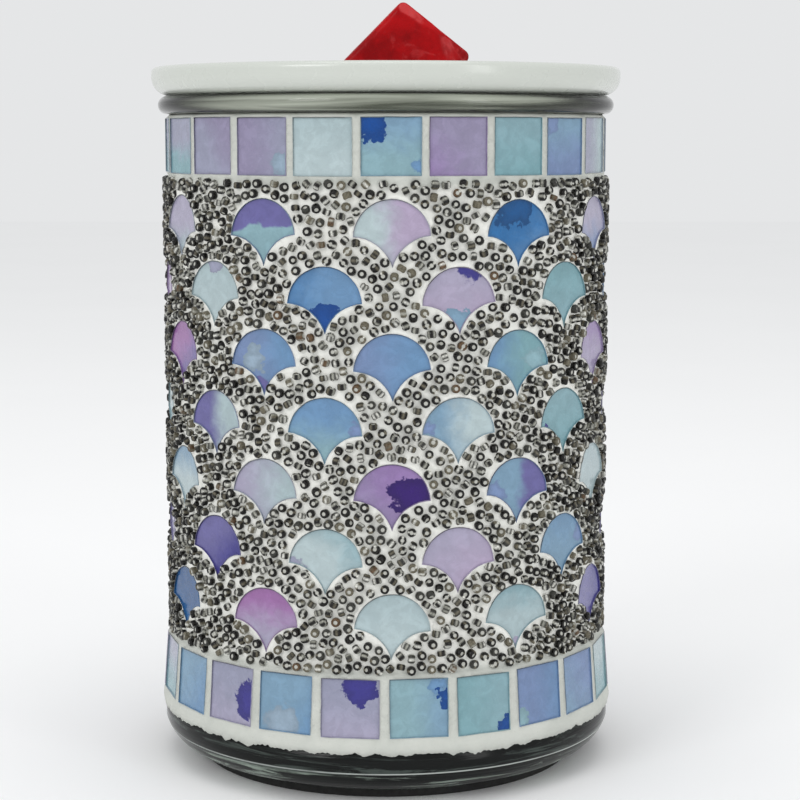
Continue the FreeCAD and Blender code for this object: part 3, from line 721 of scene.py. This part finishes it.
def paint_values(recipe, tile_at):
    """The attributes that paint one tile."""
    towards = Vector(recipe["towards"]) * recipe["sharp"]
    values = {
        "tile_at": tile_at,
        "paint_first": PAINTS[recipe["first"]],
        "paint_second": PAINTS[recipe["second"]],
        "wash_to": (towards.x, towards.y, recipe["shift"]),
    }
    for name in ("blot", "patch"):
        paint, place, size = recipe[name] or ("ice", (0, 0), 0)
        values[name + "_paint"] = PAINTS[paint]
        values[name + "_at"] = (place[0], place[1], size)
    return values


def painted_edge_shades(outline):
    """Painted shade on the tile's edge at each point of its outline: darker where the edge faces up and to the left."""
    lights = []
    for before, after in zip(outline[-1:] + outline[:-1], outline[1:] + outline[:1]):
        outward = Vector((after.y - before.y, before.x - after.x)).normalized()
        # Painted shade: the more the edge faces up and to the left, the darker it is.
        shade = max(outward.dot(Vector((-0.5, 0.87))), 0)
        light = 0.84 - 0.58 * shade
        lights.append((light, light, light))
    return lights


def add_tile(pile, tile, outline, recipe, thickness, laid):
    """A glass slab with its painted back seen a little below its rounded edge."""
    count = len(outline)
    rings = [
        (outline, -thickness),
        (outline, -EDGE_ROUND),
        (shrink(outline, EDGE_ROUND), 0.0),
        (shrink(outline, EDGE_ROUND + EDGE_WIDTH), 0.0),
        (shrink(outline, EDGE_ROUND + EDGE_WIDTH * 1.2), -RECESS),
    ]
    points = []
    places = []
    seed = laid.uniform(0, 90)
    for ring, depth in rings:
        for spot in ring:
            points.append(tile.point(spot.x, spot.y, depth))
            places.append((spot.x / tile.width * 2, spot.y / tile.height * 2, seed))
    # The edge's painted shade, the same on every ring of the slab.
    lights = painted_edge_shades(outline) * len(rings)
    faces = []
    slots = []
    for ring in range(len(rings) - 1):
        for step in range(count):
            after = (step + 1) % count
            low, high = ring * count, (ring + 1) * count
            faces.append((low + step, low + after, high + after, high + step))
            slots.append(1)
    last = (len(rings) - 1) * count
    faces.append(tuple(range(last, last + count)))
    slots.append(0)
    faces.append(tuple(range(count - 1, -1, -1)))
    slots.append(1)
    pile.add(points, faces, slots, paint_values(recipe, places) | {"painted_edge_shade": lights})


def make_tiles(node, slot, outline_of, recipes, thickness, laid, materials):
    """The tiles of one CAD node as one piece. Returns each tile with its outline, for the grout."""
    pile = Pile()
    laid_tiles = []
    for tile, number in front_numbers(cad_tiles(node)):
        outline = outline_of(tile, laid)
        recipe = recipes.get(number) or any_wash(laid)
        add_tile(pile, tile, outline, recipe, thickness, laid)
        laid_tiles.append((tile, outline))
    ship(pile.make(node + "_glass", *materials), "jar", slot, node)
    return laid_tiles


# --- Grout ------------------------------------------------------------------------------------------
class Coat:
    """The grout's surface, unrolled: across is the angle round the jar times a fixed radius."""

    def __init__(self):
        self.beads_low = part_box("bead_field")[0].z
        self.beads_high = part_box("bead_field")[1].z
        self.low, self.high = (corner.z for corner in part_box("grout_coat"))
        self.shoulder_top = self.low + 2.3 * MM  # where the jar's foot meets its straight wall
        self.tile_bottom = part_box("lower_square_tiles")[0].z
        self.radius = 50.0 * MM
        self.around = 2 * math.pi * self.radius
        self.heights = [
            (self.low - 1.2 * MM, 51.66 * MM),
            (self.low - 0.4 * MM, 51.80 * MM),
            (self.low + 0.5 * MM, 52.00 * MM),
            (self.low + 1.5 * MM, 52.15 * MM),
            (self.low + 2.6 * MM, 51.85 * MM),
            (self.tile_bottom, 51.38 * MM),
            (self.beads_low - 0.8 * MM, 50.42 * MM),
            (self.beads_low, 49.5 * MM),
            (self.beads_high, 49.5 * MM),
            (self.beads_high + 0.8 * MM, 49.62 * MM),
            (self.high - 0.35 * MM, 49.60 * MM),
            (self.high, 49.0 * MM),
        ]

    def radius_at(self, height):
        """The grout's radius at a height, before its roughness."""
        return float(np.interp(height, *zip(*self.heights)))

    def glass_at(self, height):
        """Just outside the glass under the grout's lower edge."""
        share = min(max((height - self.low) / (self.shoulder_top - self.low), 0), 1)
        return (51.53 - 3.48 * share) * MM

    def unroll(self, tile, spot):
        """Where a spot of a tile's outline meets the grout's surface."""
        place = tile.point(spot.x, spot.y)
        out = self.radius_at(place.z)
        side = place.dot(Vector((math.cos(tile.angle), math.sin(tile.angle), 0)))
        return Vector(((tile.angle + math.asin(side / out)) * self.radius, place.z))

    def place(self, across, height):
        """The point in space of a place on the coat."""
        return direction(across / self.radius) * self.radius_at(height) + Vector((0, 0, height))


def inside(outline, points):
    """Which rows of an array of points lie inside an outline."""
    found = np.zeros(len(points), dtype=bool)
    x, y = points[:, 0], points[:, 1]
    for here, after in zip(outline, outline[1:] + outline[:1]):
        crosses = (here.y > y) != (after.y > y)
        rise = (after.y - here.y) or 1e-12
        found ^= crosses & (x < (after.x - here.x) * (y - here.y) / rise + here.x)
    return found


def wrapped(outline, coat):
    """An outline and its copies one turn to either side, where those are near the seam."""
    copies = [outline]
    for turn in (-coat.around, coat.around):
        moved = [spot + Vector((turn, 0)) for spot in outline]
        if min(abs(spot.x) for spot in moved) < coat.around / 2 + 12 * MM:
            copies.append(moved)
    return copies


def skirt_edge(angle):
    """How far the wiped lower edge of the grout wanders up and down, from -1 to 1."""
    slow = noise.noise(Vector((math.sin(angle), math.cos(angle), 0)) * 4)
    quick = noise.noise(Vector((math.sin(angle), math.cos(angle), 3)) * 19)
    chipped = noise.noise(Vector((math.sin(angle), math.cos(angle), 7)) * 60)
    return 0.6 * slow + 0.75 * quick + 0.5 * chipped


def grout_points(coat, outlines, laid):
    """Loose points over the coat, away from the tiles, and the points along its two edges."""
    columns = 900
    edge = []
    for step in range(columns):
        across = (step / columns - 0.5) * coat.around
        ragged = skirt_edge(across / coat.radius) * SKIRT_RAGGED
        edge.append((across, coat.low - 0.05 * MM + min(max(ragged, -1.1 * MM), 1.0 * MM)))
        edge.append((across, coat.high))
    loose = []
    lowest = coat.low + 1.25 * MM
    rows = int((coat.high - lowest) / (GROUT_STEP * 0.87))
    per_row = int(coat.around / GROUT_STEP)
    for row in range(rows):
        for step in range(per_row):
            across = ((step + 0.5 * (row % 2)) / per_row - 0.5) * coat.around + laid.uniform(-0.2, 0.2) * MM
            loose.append((across, lowest + row * GROUT_STEP * 0.87 + laid.uniform(-0.2, 0.2) * MM))
    loose = np.array(loose)
    keep = loose[:, 1] < coat.high - 0.4 * MM
    for outline in outlines:
        grown = shrink(outline, -0.3 * MM)
        for copy in wrapped(grown, coat):
            near = np.flatnonzero(abs(loose[:, 0] - copy[0].x) < 20 * MM)
            keep[near[inside(copy, loose[near])]] = False
    return edge + [tuple(point) for point in loose[keep]]


def grout_triangles(coat, outlines, laid):
    """The coat's points in space, and its triangles, which leave the tiles' outlines free.

    The grout comes up to the edge of each tile and sinks away from it.
    """
    points = grout_points(coat, [outline for outline, _ in outlines], laid)
    for turn in (-coat.around, coat.around):
        margin = coat.around / 2 + 12 * MM
        points += [(x + turn, y) for x, y in points if abs(x + turn) < margin and abs(x) <= coat.around / 2]
    points = [Vector(point) for point in points]
    faces = []
    brims = {}
    for outline, brim in outlines:
        for copy in wrapped(outline, coat):
            faces.append(list(range(len(points), len(points) + len(copy))))
            brims.update(zip(faces[-1], brim))
            points += copy
    verts, _, triangles, origins, _, sources = geometry.delaunay_2d_cdt(points, [], faces, 0, 1e-7)
    placed = {}
    for index, origin in enumerate(origins):
        placed[index] = next((brims[source] for source in origin if source in brims), None)
    kept = []
    for triangle, source in zip(triangles, sources):
        across = sum(verts[corner].x for corner in triangle) / 3
        height = sum(verts[corner].y for corner in triangle) / 3
        ragged = skirt_edge(across / coat.radius) * SKIRT_RAGGED
        over_edge = height > coat.low - 0.05 * MM + min(max(ragged, -1.1 * MM), 1.0 * MM)
        if not source and over_edge and -coat.around / 2 <= across < coat.around / 2:
            kept.append(triangle)
    for index, vert in enumerate(verts):
        placed[index] = placed[index] or coat.place(vert.x, vert.y)
    return placed, kept


def make_grout(coat, laid_tiles, material, laid):
    """The grout as one closed mesh with a pocket for every tile and a ragged, wiped lower edge."""
    outlines = []
    for tile, outline in laid_tiles:
        inner = shrink(outline, 0.05 * MM)
        brim = [tile.point(spot.x, spot.y, -0.10 * MM) for spot in inner]
        outlines.append(([coat.unroll(tile, spot) for spot in inner], brim))
    placed, triangles = grout_triangles(coat, outlines, laid)
    mesh = bmesh.new()
    made = {}
    for triangle in triangles:
        for corner in triangle:
            if corner not in made:
                made[corner] = mesh.verts.new(placed[corner])
        mesh.faces.new([made[corner] for corner in triangle])
    bmesh.ops.remove_doubles(mesh, verts=mesh.verts, dist=0.02 * MM)
    rims = [edge for edge in mesh.edges if edge.is_boundary]
    on_rim = {corner for edge in rims for corner in edge.verts}
    for corner in mesh.verts:
        roughen(corner, 0.1 if corner in on_rim else 1.0)
    low = [edge for edge in rims if edge.verts[0].co.z < coat.tile_bottom - 0.5 * MM]
    high = [edge for edge in rims if edge.verts[0].co.z > coat.high - 0.2 * MM]
    pockets = [edge for edge in rims if edge not in set(low + high)]
    floor = push_back(mesh, pockets, lambda height: (48.9 * MM, height))
    bmesh.ops.holes_fill(mesh, edges=floor)
    low = push_back(mesh, low, lambda height: (coat.glass_at(height), height))
    low = push_back(mesh, low, lambda height: (coat.glass_at(coat.low), max(height, coat.low + 0.02 * MM)))
    low = push_back(mesh, low, lambda height: (48.05 * MM, coat.shoulder_top + 0.03 * MM))
    high = push_back(mesh, high, lambda height: (48.05 * MM, height))
    bmesh.ops.bridge_loops(mesh, edges=low + high)
    bmesh.ops.recalc_face_normals(mesh, faces=mesh.faces)
    for face in mesh.faces:
        face.smooth = True
    data = bpy.data.meshes.new("grout")
    mesh.to_mesh(data)
    mesh.free()
    ship(new_piece("grout_bed", data, material), "jar", "grout", "grout_coat")


def push_back(mesh, edges, target):
    """Extrudes open edges to a radius and height given by their height, and returns the new edges."""
    made = bmesh.ops.extrude_edge_only(mesh, edges=edges)["geom"]
    corners = [item for item in made if isinstance(item, bmesh.types.BMVert)]
    for corner in corners:
        radius, height = target(corner.co.z)
        out = Vector((corner.co.x, corner.co.y, 0)).normalized()
        corner.co = out * radius + Vector((0, 0, height))
    fresh = set(corners)
    return [item for item in made if isinstance(item, bmesh.types.BMEdge) and set(item.verts) <= fresh]


def roughen(corner, share):
    """Moves a point of the grout in or out by a coarse and a fine unevenness."""
    coarse = noise.noise(corner.co / MM * 0.16)
    fine = noise.noise(corner.co / MM * 0.8)
    out = Vector((corner.co.x, corner.co.y, 0)).normalized()
    corner.co += out * (coarse * 0.9 + fine * 0.8) * GROUT_ROUGHNESS * share


# --- Beads ------------------------------------------------------------------------------------------
def bead_places(coat, outlines, laid):
    """Bead positions on the coat: as many as fit between the tiles, settled side by side."""
    least = BEAD_RADIUS + BEAD_BORDER
    low = coat.beads_low + BEAD_RADIUS * 0.9
    high = coat.beads_high - BEAD_RADIUS * 0.9
    fence = kdtree.KDTree(sum(len(outline) * 3 for outline in outlines) * 3)
    for outline in outlines:
        for copy in wrapped(outline, coat):
            for here, after in zip(copy, copy[1:] + copy[:1]):
                for share in (0, 1 / 3, 2 / 3):
                    spot = here.lerp(after, share)
                    fence.insert((spot.x, spot.y, 0), 0)
    fence.balance()
    free, step = free_cells(coat, outlines, low, high)

    def allowed(x, y):
        column = int((x + coat.around / 2) / step[0]) % free.shape[1]
        row = int((y - low) / step[1])
        return 0 <= row < free.shape[0] and free[row, column]

    starts = []
    for row in range(free.shape[0]):
        for column in np.flatnonzero(free[row]):
            x = (column + 0.5) * step[0] - coat.around / 2
            y = low + (row + 0.5) * step[1]
            if fence.find((x, y, 0))[2] > least:
                starts.append((x, y))
    hexagon = BEAD_SPACING ** 2 * math.sqrt(3) / 2
    count = int(len(starts) * step[0] * step[1] / hexagon * BEAD_SHARE)
    places = settle(spread_out(starts, count, laid), fence, allowed, least, low, high, coat)
    return places


def free_cells(coat, outlines, low, high):
    """A grid over the coat that is true where no tile lies, and the size of its cells."""
    columns = int(coat.around / (0.3 * MM))
    rows = int((high - low) / (0.3 * MM))
    step = (coat.around / columns, (high - low) / rows)
    x, y = np.meshgrid((np.arange(columns) + 0.5) * step[0] - coat.around / 2, low + (np.arange(rows) + 0.5) * step[1])
    grid = np.stack((x.ravel(), y.ravel()), axis=1)
    free = np.ones(len(grid), dtype=bool)
    for outline in outlines:
        for copy in wrapped(outline, coat):
            near = np.flatnonzero(abs(grid[:, 0] - copy[0].x) < 20 * MM)
            free[near[inside(copy, grid[near])]] = False
    return free.reshape(rows, columns), step


def spread_out(starts, count, laid):
    """Picks that many of the starts, none of them close together."""
    laid.shuffle(starts)
    gap = BEAD_SPACING
    picked = []
    while len(picked) < count and gap > BEAD_SPACING * 0.4:
        tree = kdtree.KDTree(len(picked))
        for index, spot in enumerate(picked):
            tree.insert((spot[0], spot[1], 0), index)
        tree.balance()
        cells = {}
        for x, y in starts:
            if len(picked) >= count:
                break
            if picked and (tree.find((x, y, 0))[2] or 0) < gap:
                continue
            column, row = int(x // gap), int(y // gap)
            near = [spot for i in (-1, 0, 1) for j in (-1, 0, 1) for spot in cells.get((column + i, row + j), ())]
            if all(math.hypot(x - spot[0], y - spot[1]) >= gap for spot in near):
                cells.setdefault((column, row), []).append((x, y))
                picked.append((x, y))
        gap *= 0.93
    return picked


def settle(places, fence, allowed, least, low, high, coat):
    """Pushes beads apart, off the tiles and back into the band, a little at a time."""
    places = [Vector((x, y, 0)) for x, y in places]
    for _ in range(36):
        tree = kdtree.KDTree(len(places) * 3)
        for index, spot in enumerate(places):
            for turn in (-coat.around, 0, coat.around):
                if abs(spot.x + turn) < coat.around / 2 + 2 * BEAD_SPACING:
                    tree.insert(spot + Vector((turn, 0, 0)), index)
        tree.balance()
        moved = []
        for spot in places:
            push = Vector((0, 0, 0))
            for other, _, away in tree.find_range(spot, BEAD_SPACING):
                if away > 1e-9:
                    push += (spot - other) / away * (BEAD_SPACING - away) * 0.36
            wall, _, away = fence.find(spot)
            if away < least:
                push += (spot - wall) / max(away, 1e-9) * (least - away) * 0.8
            target = spot + push
            target.y = min(max(target.y, low), high - 1e-6)
            moved.append(target if allowed(target.x, target.y) else spot)
        places = moved
    return [(spot.x, spot.y) for spot in places]


BEAD_DARK = linear(22, 21, 19)
BEAD_GREY = linear(56, 56, 52)
BEAD_OLIVE = linear(104, 99, 84)
# Pale lining and silver, which also serve as painted glints on the beads.
BEAD_LINING_GLINT = linear(214, 214, 206)
BEAD_SILVER_GLINT = linear(160, 160, 150)
BEAD_BROWN = linear(92, 72, 52)


def bead_tints(lean, laid):
    """A tint for each step round a bead.

    A bead that shows its hole is a dark ring with pale steps at one or two places: its lining showing,
    with painted glints. A bead on its side has dark and pale stripes along it, which are painted glints.
    """
    dark = laid.choice([BEAD_DARK] * 7 + [BEAD_GREY] * 2 + [BEAD_OLIVE])
    if laid.random() < 0.02:
        dark = BEAD_BROWN
    tints = [dark] * BEAD_STEPS
    start = laid.randrange(BEAD_STEPS)
    if lean > 55:
        # A bead on its side: painted glints as pale stripes along it.
        for step in range(0, BEAD_STEPS, laid.choice([2, 3, 3])):
            tints[(start + step) % BEAD_STEPS] = laid.choice([BEAD_LINING_GLINT, BEAD_SILVER_GLINT, BEAD_OLIVE])
        return tints
    for step in range(BEAD_STEPS):
        if laid.random() < 0.10:
            tints[step] = BEAD_OLIVE
    chance = laid.random()
    # Pale steps on the ring: the lining showing, with painted glints.
    if chance < 0.34:
        for step in range(laid.choice([1, 1, 2])):
            tints[(start + step) % BEAD_STEPS] = laid.choice([BEAD_LINING_GLINT, BEAD_SILVER_GLINT])
    elif chance < 0.58:
        tints[start] = BEAD_LINING_GLINT
        tints[(start + BEAD_STEPS // 2) % BEAD_STEPS] = laid.choice([BEAD_LINING_GLINT, BEAD_SILVER_GLINT])
    return tints


def bead_shape(steps):
    """Points, faces and slots of one bead about Z: a short tube with soft ends and a pale core."""
    profile = [(0.47, -0.58), (0.78, -0.70), (1.0, -0.45), (1.0, 0.45), (0.78, 0.70), (0.47, 0.58)]
    points = []
    for radius, height in profile:
        for step in range(steps):
            angle = 2 * math.pi * step / steps
            points.append((radius * math.cos(angle), radius * math.sin(angle), height))
    faces = []
    rings = len(profile)
    for ring in range(rings):
        for step in range(steps):
            low = ring * steps
            high = (ring + 1) % rings * steps
            after = (step + 1) % steps
            faces.append((low + step, low + after, high + after, high + step))
    slots = [0] * len(faces)
    for height in (-0.50, 0.50):
        start = len(points)
        for step in range(steps):
            angle = 2 * math.pi * step / steps
            points.append((0.48 * math.cos(angle), 0.48 * math.sin(angle), height))
        order = range(start, start + steps)
        faces.append(tuple(order) if height > 0 else tuple(reversed(order)))
        slots.append(1)
    return np.array(points), faces, slots


def bead_turn(place_angle, laid):
    """A bead's orientation: many show their holes, some lean, and the rest lie on their sides."""
    chance = laid.random()
    if chance < 0.46:
        lean = laid.uniform(0, 20)
    elif chance < 0.64:
        lean = laid.uniform(20, 60)
    else:
        lean = laid.uniform(72, 90)
    spin = Matrix.Rotation(laid.uniform(0, 2 * math.pi), 3, "Z")
    tip = Matrix.Rotation(math.radians(lean), 3, "X")
    stand = Matrix.Rotation(math.pi / 2, 3, "X")
    return Matrix.Rotation(place_angle, 3, "Z") @ stand @ spin @ tip, lean


def make_beads(coat, laid_tiles, materials, laid):
    """The beads, as one piece for each row of fan tiles."""
    outlines = [[coat.unroll(tile, spot) for spot in outline] for tile, outline in laid_tiles]
    places = bead_places(coat, outlines, laid)
    shape, faces, slots = bead_shape(BEAD_STEPS)
    rows = (coat.beads_high - coat.beads_low) / SCALE_ROWS
    bands = [[] for _ in range(SCALE_ROWS)]
    for across, height in places:
        bands[min(int((coat.beads_high - height) / rows), SCALE_ROWS - 1)].append((across, height))
    pieces = []
    for number, band in enumerate(bands, start=1):
        points = []
        tints = []
        for across, height in band:
            size = BEAD_RADIUS * laid.uniform(0.92, 1.03)
            stretch = BEAD_LENGTH / 1.4 / BEAD_RADIUS * laid.uniform(0.85, 1.1)
            turn, lean = bead_turn(across / coat.radius, laid)
            scaled = shape * (size, size, size * stretch)
            reach = abs(math.cos(math.radians(lean))) * size * stretch * 0.7 + math.sin(math.radians(lean)) * size
            centre = direction(across / coat.radius) * (51.0 * MM - reach - laid.uniform(0, 0.25) * MM)
            centre.z = height
            points.append(scaled @ np.array(turn).T + np.array(centre))
            tints.append(bead_tints(lean, laid) * (len(shape) // BEAD_STEPS))
        pieces.append(bead_piece(f"seed_beads_{number}", points, tints, faces, slots, materials))
    for piece in pieces:
        ship(piece, "jar", "seed_beads", "bead_field")


def bead_piece(name, points, tints, faces, slots, materials):
    """One mesh of many beads."""
    each = len(points[0])
    all_faces = []
    for index in range(len(points)):
        all_faces += [tuple(index * each + corner for corner in face) for face in faces]
    mesh = bpy.data.meshes.new(name)
    mesh.from_pydata(np.concatenate(points).tolist(), [], all_faces)
    paint_points(mesh, {"bead_tint_and_glints": [tint for bead in tints for tint in bead]})
    mesh.polygons.foreach_set("material_index", slots * len(points))
    mesh.polygons.foreach_set("use_smooth", [slot == 0 for slot in slots] * len(points))
    return new_piece(name, mesh, *materials)


# --- Jar, dish and wax ------------------------------------------------------------------------------
def make_dish(material):
    low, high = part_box("wax_dish")
    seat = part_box("glass_jar")[1].z + 0.05 * MM
    rim = high.x
    top = high.z
    floor = low.z + 2.8 * MM
    low_corner = (rim - 4.0 * MM, seat + 4.0 * MM)
    top_corner = (rim - 1.3 * MM, top - 1.3 * MM)
    inner_corner = (top_corner[0] - 2.6 * MM, top_corner[1])
    bowl_top = Vector((inner_corner[0] - 1.3 * MM, top_corner[1]))
    wall_foot = Vector((33.0 * MM, floor))
    hollow = Vector((33.0 * MM + (bowl_top.x - 33.0 * MM) * 0.62, floor + (top - floor) * 0.3))
    bowl = [tuple(point) for point in arc(bowl_top, hollow, wall_foot, 14)]
    profile = [(0, low.z), (33.4 * MM, low.z), (43.9 * MM, seat), (low_corner[0], seat)]
    profile += bend(low_corner, 4.0 * MM, -90, 0)
    profile += bend(top_corner, 1.3 * MM, 0, 90)
    profile += bend(inner_corner, 1.3 * MM, 90, 180)
    profile += bowl + [tuple(wall_foot), (20 * MM, floor), (0, floor)]
    ship(lathe("glazed_dish", profile, 160, material), "dish", "dish_glaze", "wax_dish")


def make_jar(material):
    low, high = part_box("glass_jar")
    bottom = low.z
    top = high.z
    lip = 51.6 * MM
    wall = 48.0 * MM
    inner = 45.5 * MM
    roll = 2.05 * MM
    lip_low = top - 2 * roll
    heel = arc((44.8 * MM, bottom), (49.35 * MM, bottom + 2.55 * MM), (51.5 * MM, bottom + 6.3 * MM), 12)
    profile = [(5.6 * MM, bottom + 2.5 * MM), (32 * MM, bottom + 2.5 * MM), (36 * MM, bottom)]
    profile += [tuple(point) for point in heel]
    profile += [(51.5 * MM, bottom + 6.3 * MM), (51.5 * MM, bottom + 9.6 * MM), (wall, bottom + 11.9 * MM)]
    profile += [(wall, bottom + 60 * MM), (wall, lip_low - 0.2 * MM)]
    profile += bend((lip - roll, top - roll), roll, -90, 90, 12)
    profile += bend((44.8 * MM + roll, top - roll), roll, 90, 180, 6)
    profile += [(44.8 * MM + 0.7 * MM, lip_low - 1.5 * MM), (inner, bottom + 60 * MM), (inner, bottom + 8.5 * MM)]
    profile += bend((inner - 3.0 * MM, bottom + 8.5 * MM), 3.0 * MM, 0, -90, 6)
    profile += [(20 * MM, bottom + 5.5 * MM), (5.6 * MM, bottom + 5.5 * MM)]
    ship(lathe("jar_shell", profile, 200, material), "jar", "jar_glass", "glass_jar")


def make_wax(material):
    """The broken block of wax: the CAD block with chipped facets, worn edges and uneven faces."""
    mesh = NODES["wax_melt"].data.copy()
    piece = new_piece("wax_block", mesh)
    mesh.materials.clear()
    mesh.materials.append(material)
    remesh = piece.modifiers.new("even", "REMESH")
    remesh.mode = "VOXEL"
    remesh.voxel_size = 0.42 * MM
    apply_modifiers(piece)
    low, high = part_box("wax_melt")
    front = low.y
    top = high.z
    facets = [
        (Vector((11.0 * MM, front, top - 11.0 * MM)), Vector((0.42, -0.90, 0.10))),
        (Vector((5.5 * MM, front + 0.1 * MM, top - 5.0 * MM)), Vector((0.30, -0.80, 0.52))),
        (Vector((16.2 * MM, front + 1.6 * MM, top - 12.5 * MM)), Vector((0.75, -0.62, -0.22))),
        (Vector((-8.5 * MM, front + 0.4 * MM, top - 16.0 * MM)), Vector((-0.72, -0.66, 0.20))),
    ]
    block = bmesh.new()
    block.from_mesh(piece.data)
    broken = block.verts.layers.float.new("broken")
    middle = sum((corner.co for corner in block.verts), Vector()) / len(block.verts)
    for corner in block.verts:
        for place, normal in facets[:3]:
            normal = normal.normalized()
            ripple = noise.noise(corner.co / MM * 0.35) * 0.25 * MM
            over = (corner.co - place).dot(normal) + ripple
            if over > 0:
                corner.co -= normal * over
                corner[broken] = max(corner[broken], min(over / (0.5 * MM), 1))
        away = (corner.co - middle).normalized()
        worn = noise.noise(corner.co / MM * 0.13) * 0.3 + noise.noise(corner.co / MM * 0.42) * 0.14
        corner.co -= away * (0.06 + abs(worn) * 0.6) * MM
    for face in block.faces:
        face.smooth = True
    block.to_mesh(piece.data)
    block.free()
    ship(piece, "wax", "red_wax", "wax_melt")


def apply_modifiers(piece):
    """Replaces a piece's mesh by what its modifiers make of it."""
    graph = bpy.context.evaluated_depsgraph_get()
    graph.update()
    mesh = bpy.data.meshes.new_from_object(piece.evaluated_get(graph))
    piece.modifiers.clear()
    piece.data = mesh


# --- Lamp and foot: CAD shapes with better finishes -------------------------------------------------
def finish_cad_nodes():
    zinc = metal_look("zinc", linear(186, 184, 178), linear(160, 156, 150))
    brass = metal_look("brass", linear(206, 170, 96), linear(176, 138, 72))
    rolled = metal_look("rolled_cap", linear(196, 194, 188), linear(170, 168, 160))
    enamel = plain_look("black_enamel", linear(30, 30, 31), linear(40, 40, 42), 240.0, 0.06, (0.3, 0.45))
    phenolic = plain_look("phenolic", linear(34, 30, 27), linear(46, 40, 35), 420.0, 0.04, (0.28, 0.42))
    rubber = plain_look("pad_rubber", linear(24, 24, 24), linear(36, 36, 35), 500.0, 0.1, (0.7, 0.9))
    silicone = plain_look("silicone", linear(168, 168, 164), linear(150, 150, 146), 300.0, 0.05, (0.5, 0.7))
    porcelain = plain_look("porcelain", linear(228, 224, 212), linear(212, 206, 192), 350.0, 0.05, (0.4, 0.6))
    black_glass = plain_look("black_glass", linear(16, 16, 20), linear(24, 24, 30), 300.0, 0.02, (0.06, 0.14))
    tungsten = metal_look("tungsten", linear(92, 90, 88), linear(74, 72, 70), (0.4, 0.6))
    lamp_glass = lamp_glass_look()
    finishes = {
        "foot_pad": rubber,
        "hollow_rod": zinc,
        "bottom_nut": zinc,
        "top_nut": zinc,
        "bottom_gasket": silicone,
        "top_gasket": silicone,
        "lamp_base_plate": enamel,
        "spacer_sleeve": enamel,
        "lamp_holder_cap": phenolic,
        "lamp_holder_body": phenolic,
        "lamp_holder_insulator": porcelain,
        "threaded_shell": brass,
        "centre_contact": brass,
        "terminal_screws": zinc,
        "bulb_tip_contact": zinc,
        "bulb_insulator": black_glass,
        "bulb_cap": rolled,
        "bulb_glass": lamp_glass,
        "bulb_stem": lamp_glass,
        "bulb_lead_wires": zinc,
        "bulb_filament": tungsten,
    }
    for node, material in finishes.items():
        for slot in NODES[node].material_slots:
            slot.material = material


def lamp_glass_look():
    look = Look("lamp_glass", linear(244, 246, 246), roughness=0.01, ior=1.45, transmission_weight=1.0)
    look.feed("Roughness", look.spread(look.noise(120.0, 3.0), 0.4, 0.8, 0.005, 0.04))
    look.bump(look.noise(90.0, 2.0), 0.1 * MM, 0.2)
    return look.material


# --- Floor, light and camera ------------------------------------------------------------------------
def make_floor():
    mesh = bpy.data.meshes.new("floor")
    reach = 3.0
    corners = [(-reach, -reach, 0), (reach, -reach, 0), (reach, reach, 0), (-reach, reach, 0)]
    mesh.from_pydata(corners, [], [(0, 1, 2, 3)])
    look = Look("floor_paper", roughness=1.0, specular_ior_level=0.0)
    look.mottle(linear(253, 253, 253), linear(250, 250, 250), 6.0)
    new_piece("floor", mesh, look.material)


def area_light(name, place, size, power, aim=(0, 0, 0.08)):
    lamp = bpy.data.lights.new(name, "AREA")
    lamp.shape = "RECTANGLE"
    lamp.size, lamp.size_y = size
    lamp.energy = power
    holder = bpy.data.objects.new(name, lamp)
    bpy.context.scene.collection.objects.link(holder)
    holder.location = place
    holder.rotation_euler = (Vector(aim) - Vector(place)).to_track_quat("-Z", "Y").to_euler()


def make_light():
    world = bpy.data.worlds.new("studio")
    world.use_nodes = True
    bpy.context.scene.world = world
    background = world.node_tree.nodes["Background"]
    background.inputs["Color"].default_value = (0.98, 0.99, 1.0, 1.0)
    background.inputs["Strength"].default_value = 0.80
    area_light("key", (-0.75, -0.95, 0.75), (0.5, 0.5), 3.2)
    area_light("fill", (0.85, -0.85, 0.35), (0.25, 0.9), 1.8)
    area_light("top", (0.0, -0.1, 1.1), (0.7, 0.7), 2.0)


def make_camera():
    camera = bpy.data.cameras.new("camera")
    camera.lens = 94.0
    camera.sensor_width = 36.0
    camera.clip_start = 0.01
    holder = bpy.data.objects.new("camera", camera)
    bpy.context.scene.collection.objects.link(holder)
    holder.location = (3.19 * MM, -480.0 * MM, 141.75 * MM)
    holder.rotation_euler = (math.radians(90 - 7.214), 0, 0)
    bpy.context.scene.camera = holder


def main():
    bpy.context.scene.view_settings.view_transform = "Standard"
    noise.seed_set(7)  # without this, noise_vector differs from run to run
    laid = random.Random(7)
    tile_materials = (painted_tile_look(), tile_edge_look())
    thickness = 1.6 * MM
    squares = make_tiles(
        "upper_square_tiles", "upper_squares", square_outline, UPPER_TILES, thickness, laid, tile_materials
    )
    squares += make_tiles(
        "lower_square_tiles", "lower_squares", square_outline, LOWER_TILES, thickness, laid, tile_materials
    )
    scales = []
    for row in range(1, SCALE_ROWS + 1):
        recipes = {place: recipe for (number, place), recipe in SCALE_TILES.items() if number == row}
        scales += make_tiles(
            f"scale_tiles_row_{row}", f"scale_row_{row}", scale_outline, recipes, thickness, laid, tile_materials
        )
    coat = Coat()
    make_grout(coat, squares + scales, grout_look(), laid)
    make_beads(coat, scales, (bead_look(), bead_core_look()), laid)
    make_jar(jar_glass_look())
    make_dish(dish_look())
    make_wax(wax_look())
    finish_cad_nodes()
    make_floor()
    make_light()
    make_camera()


main()
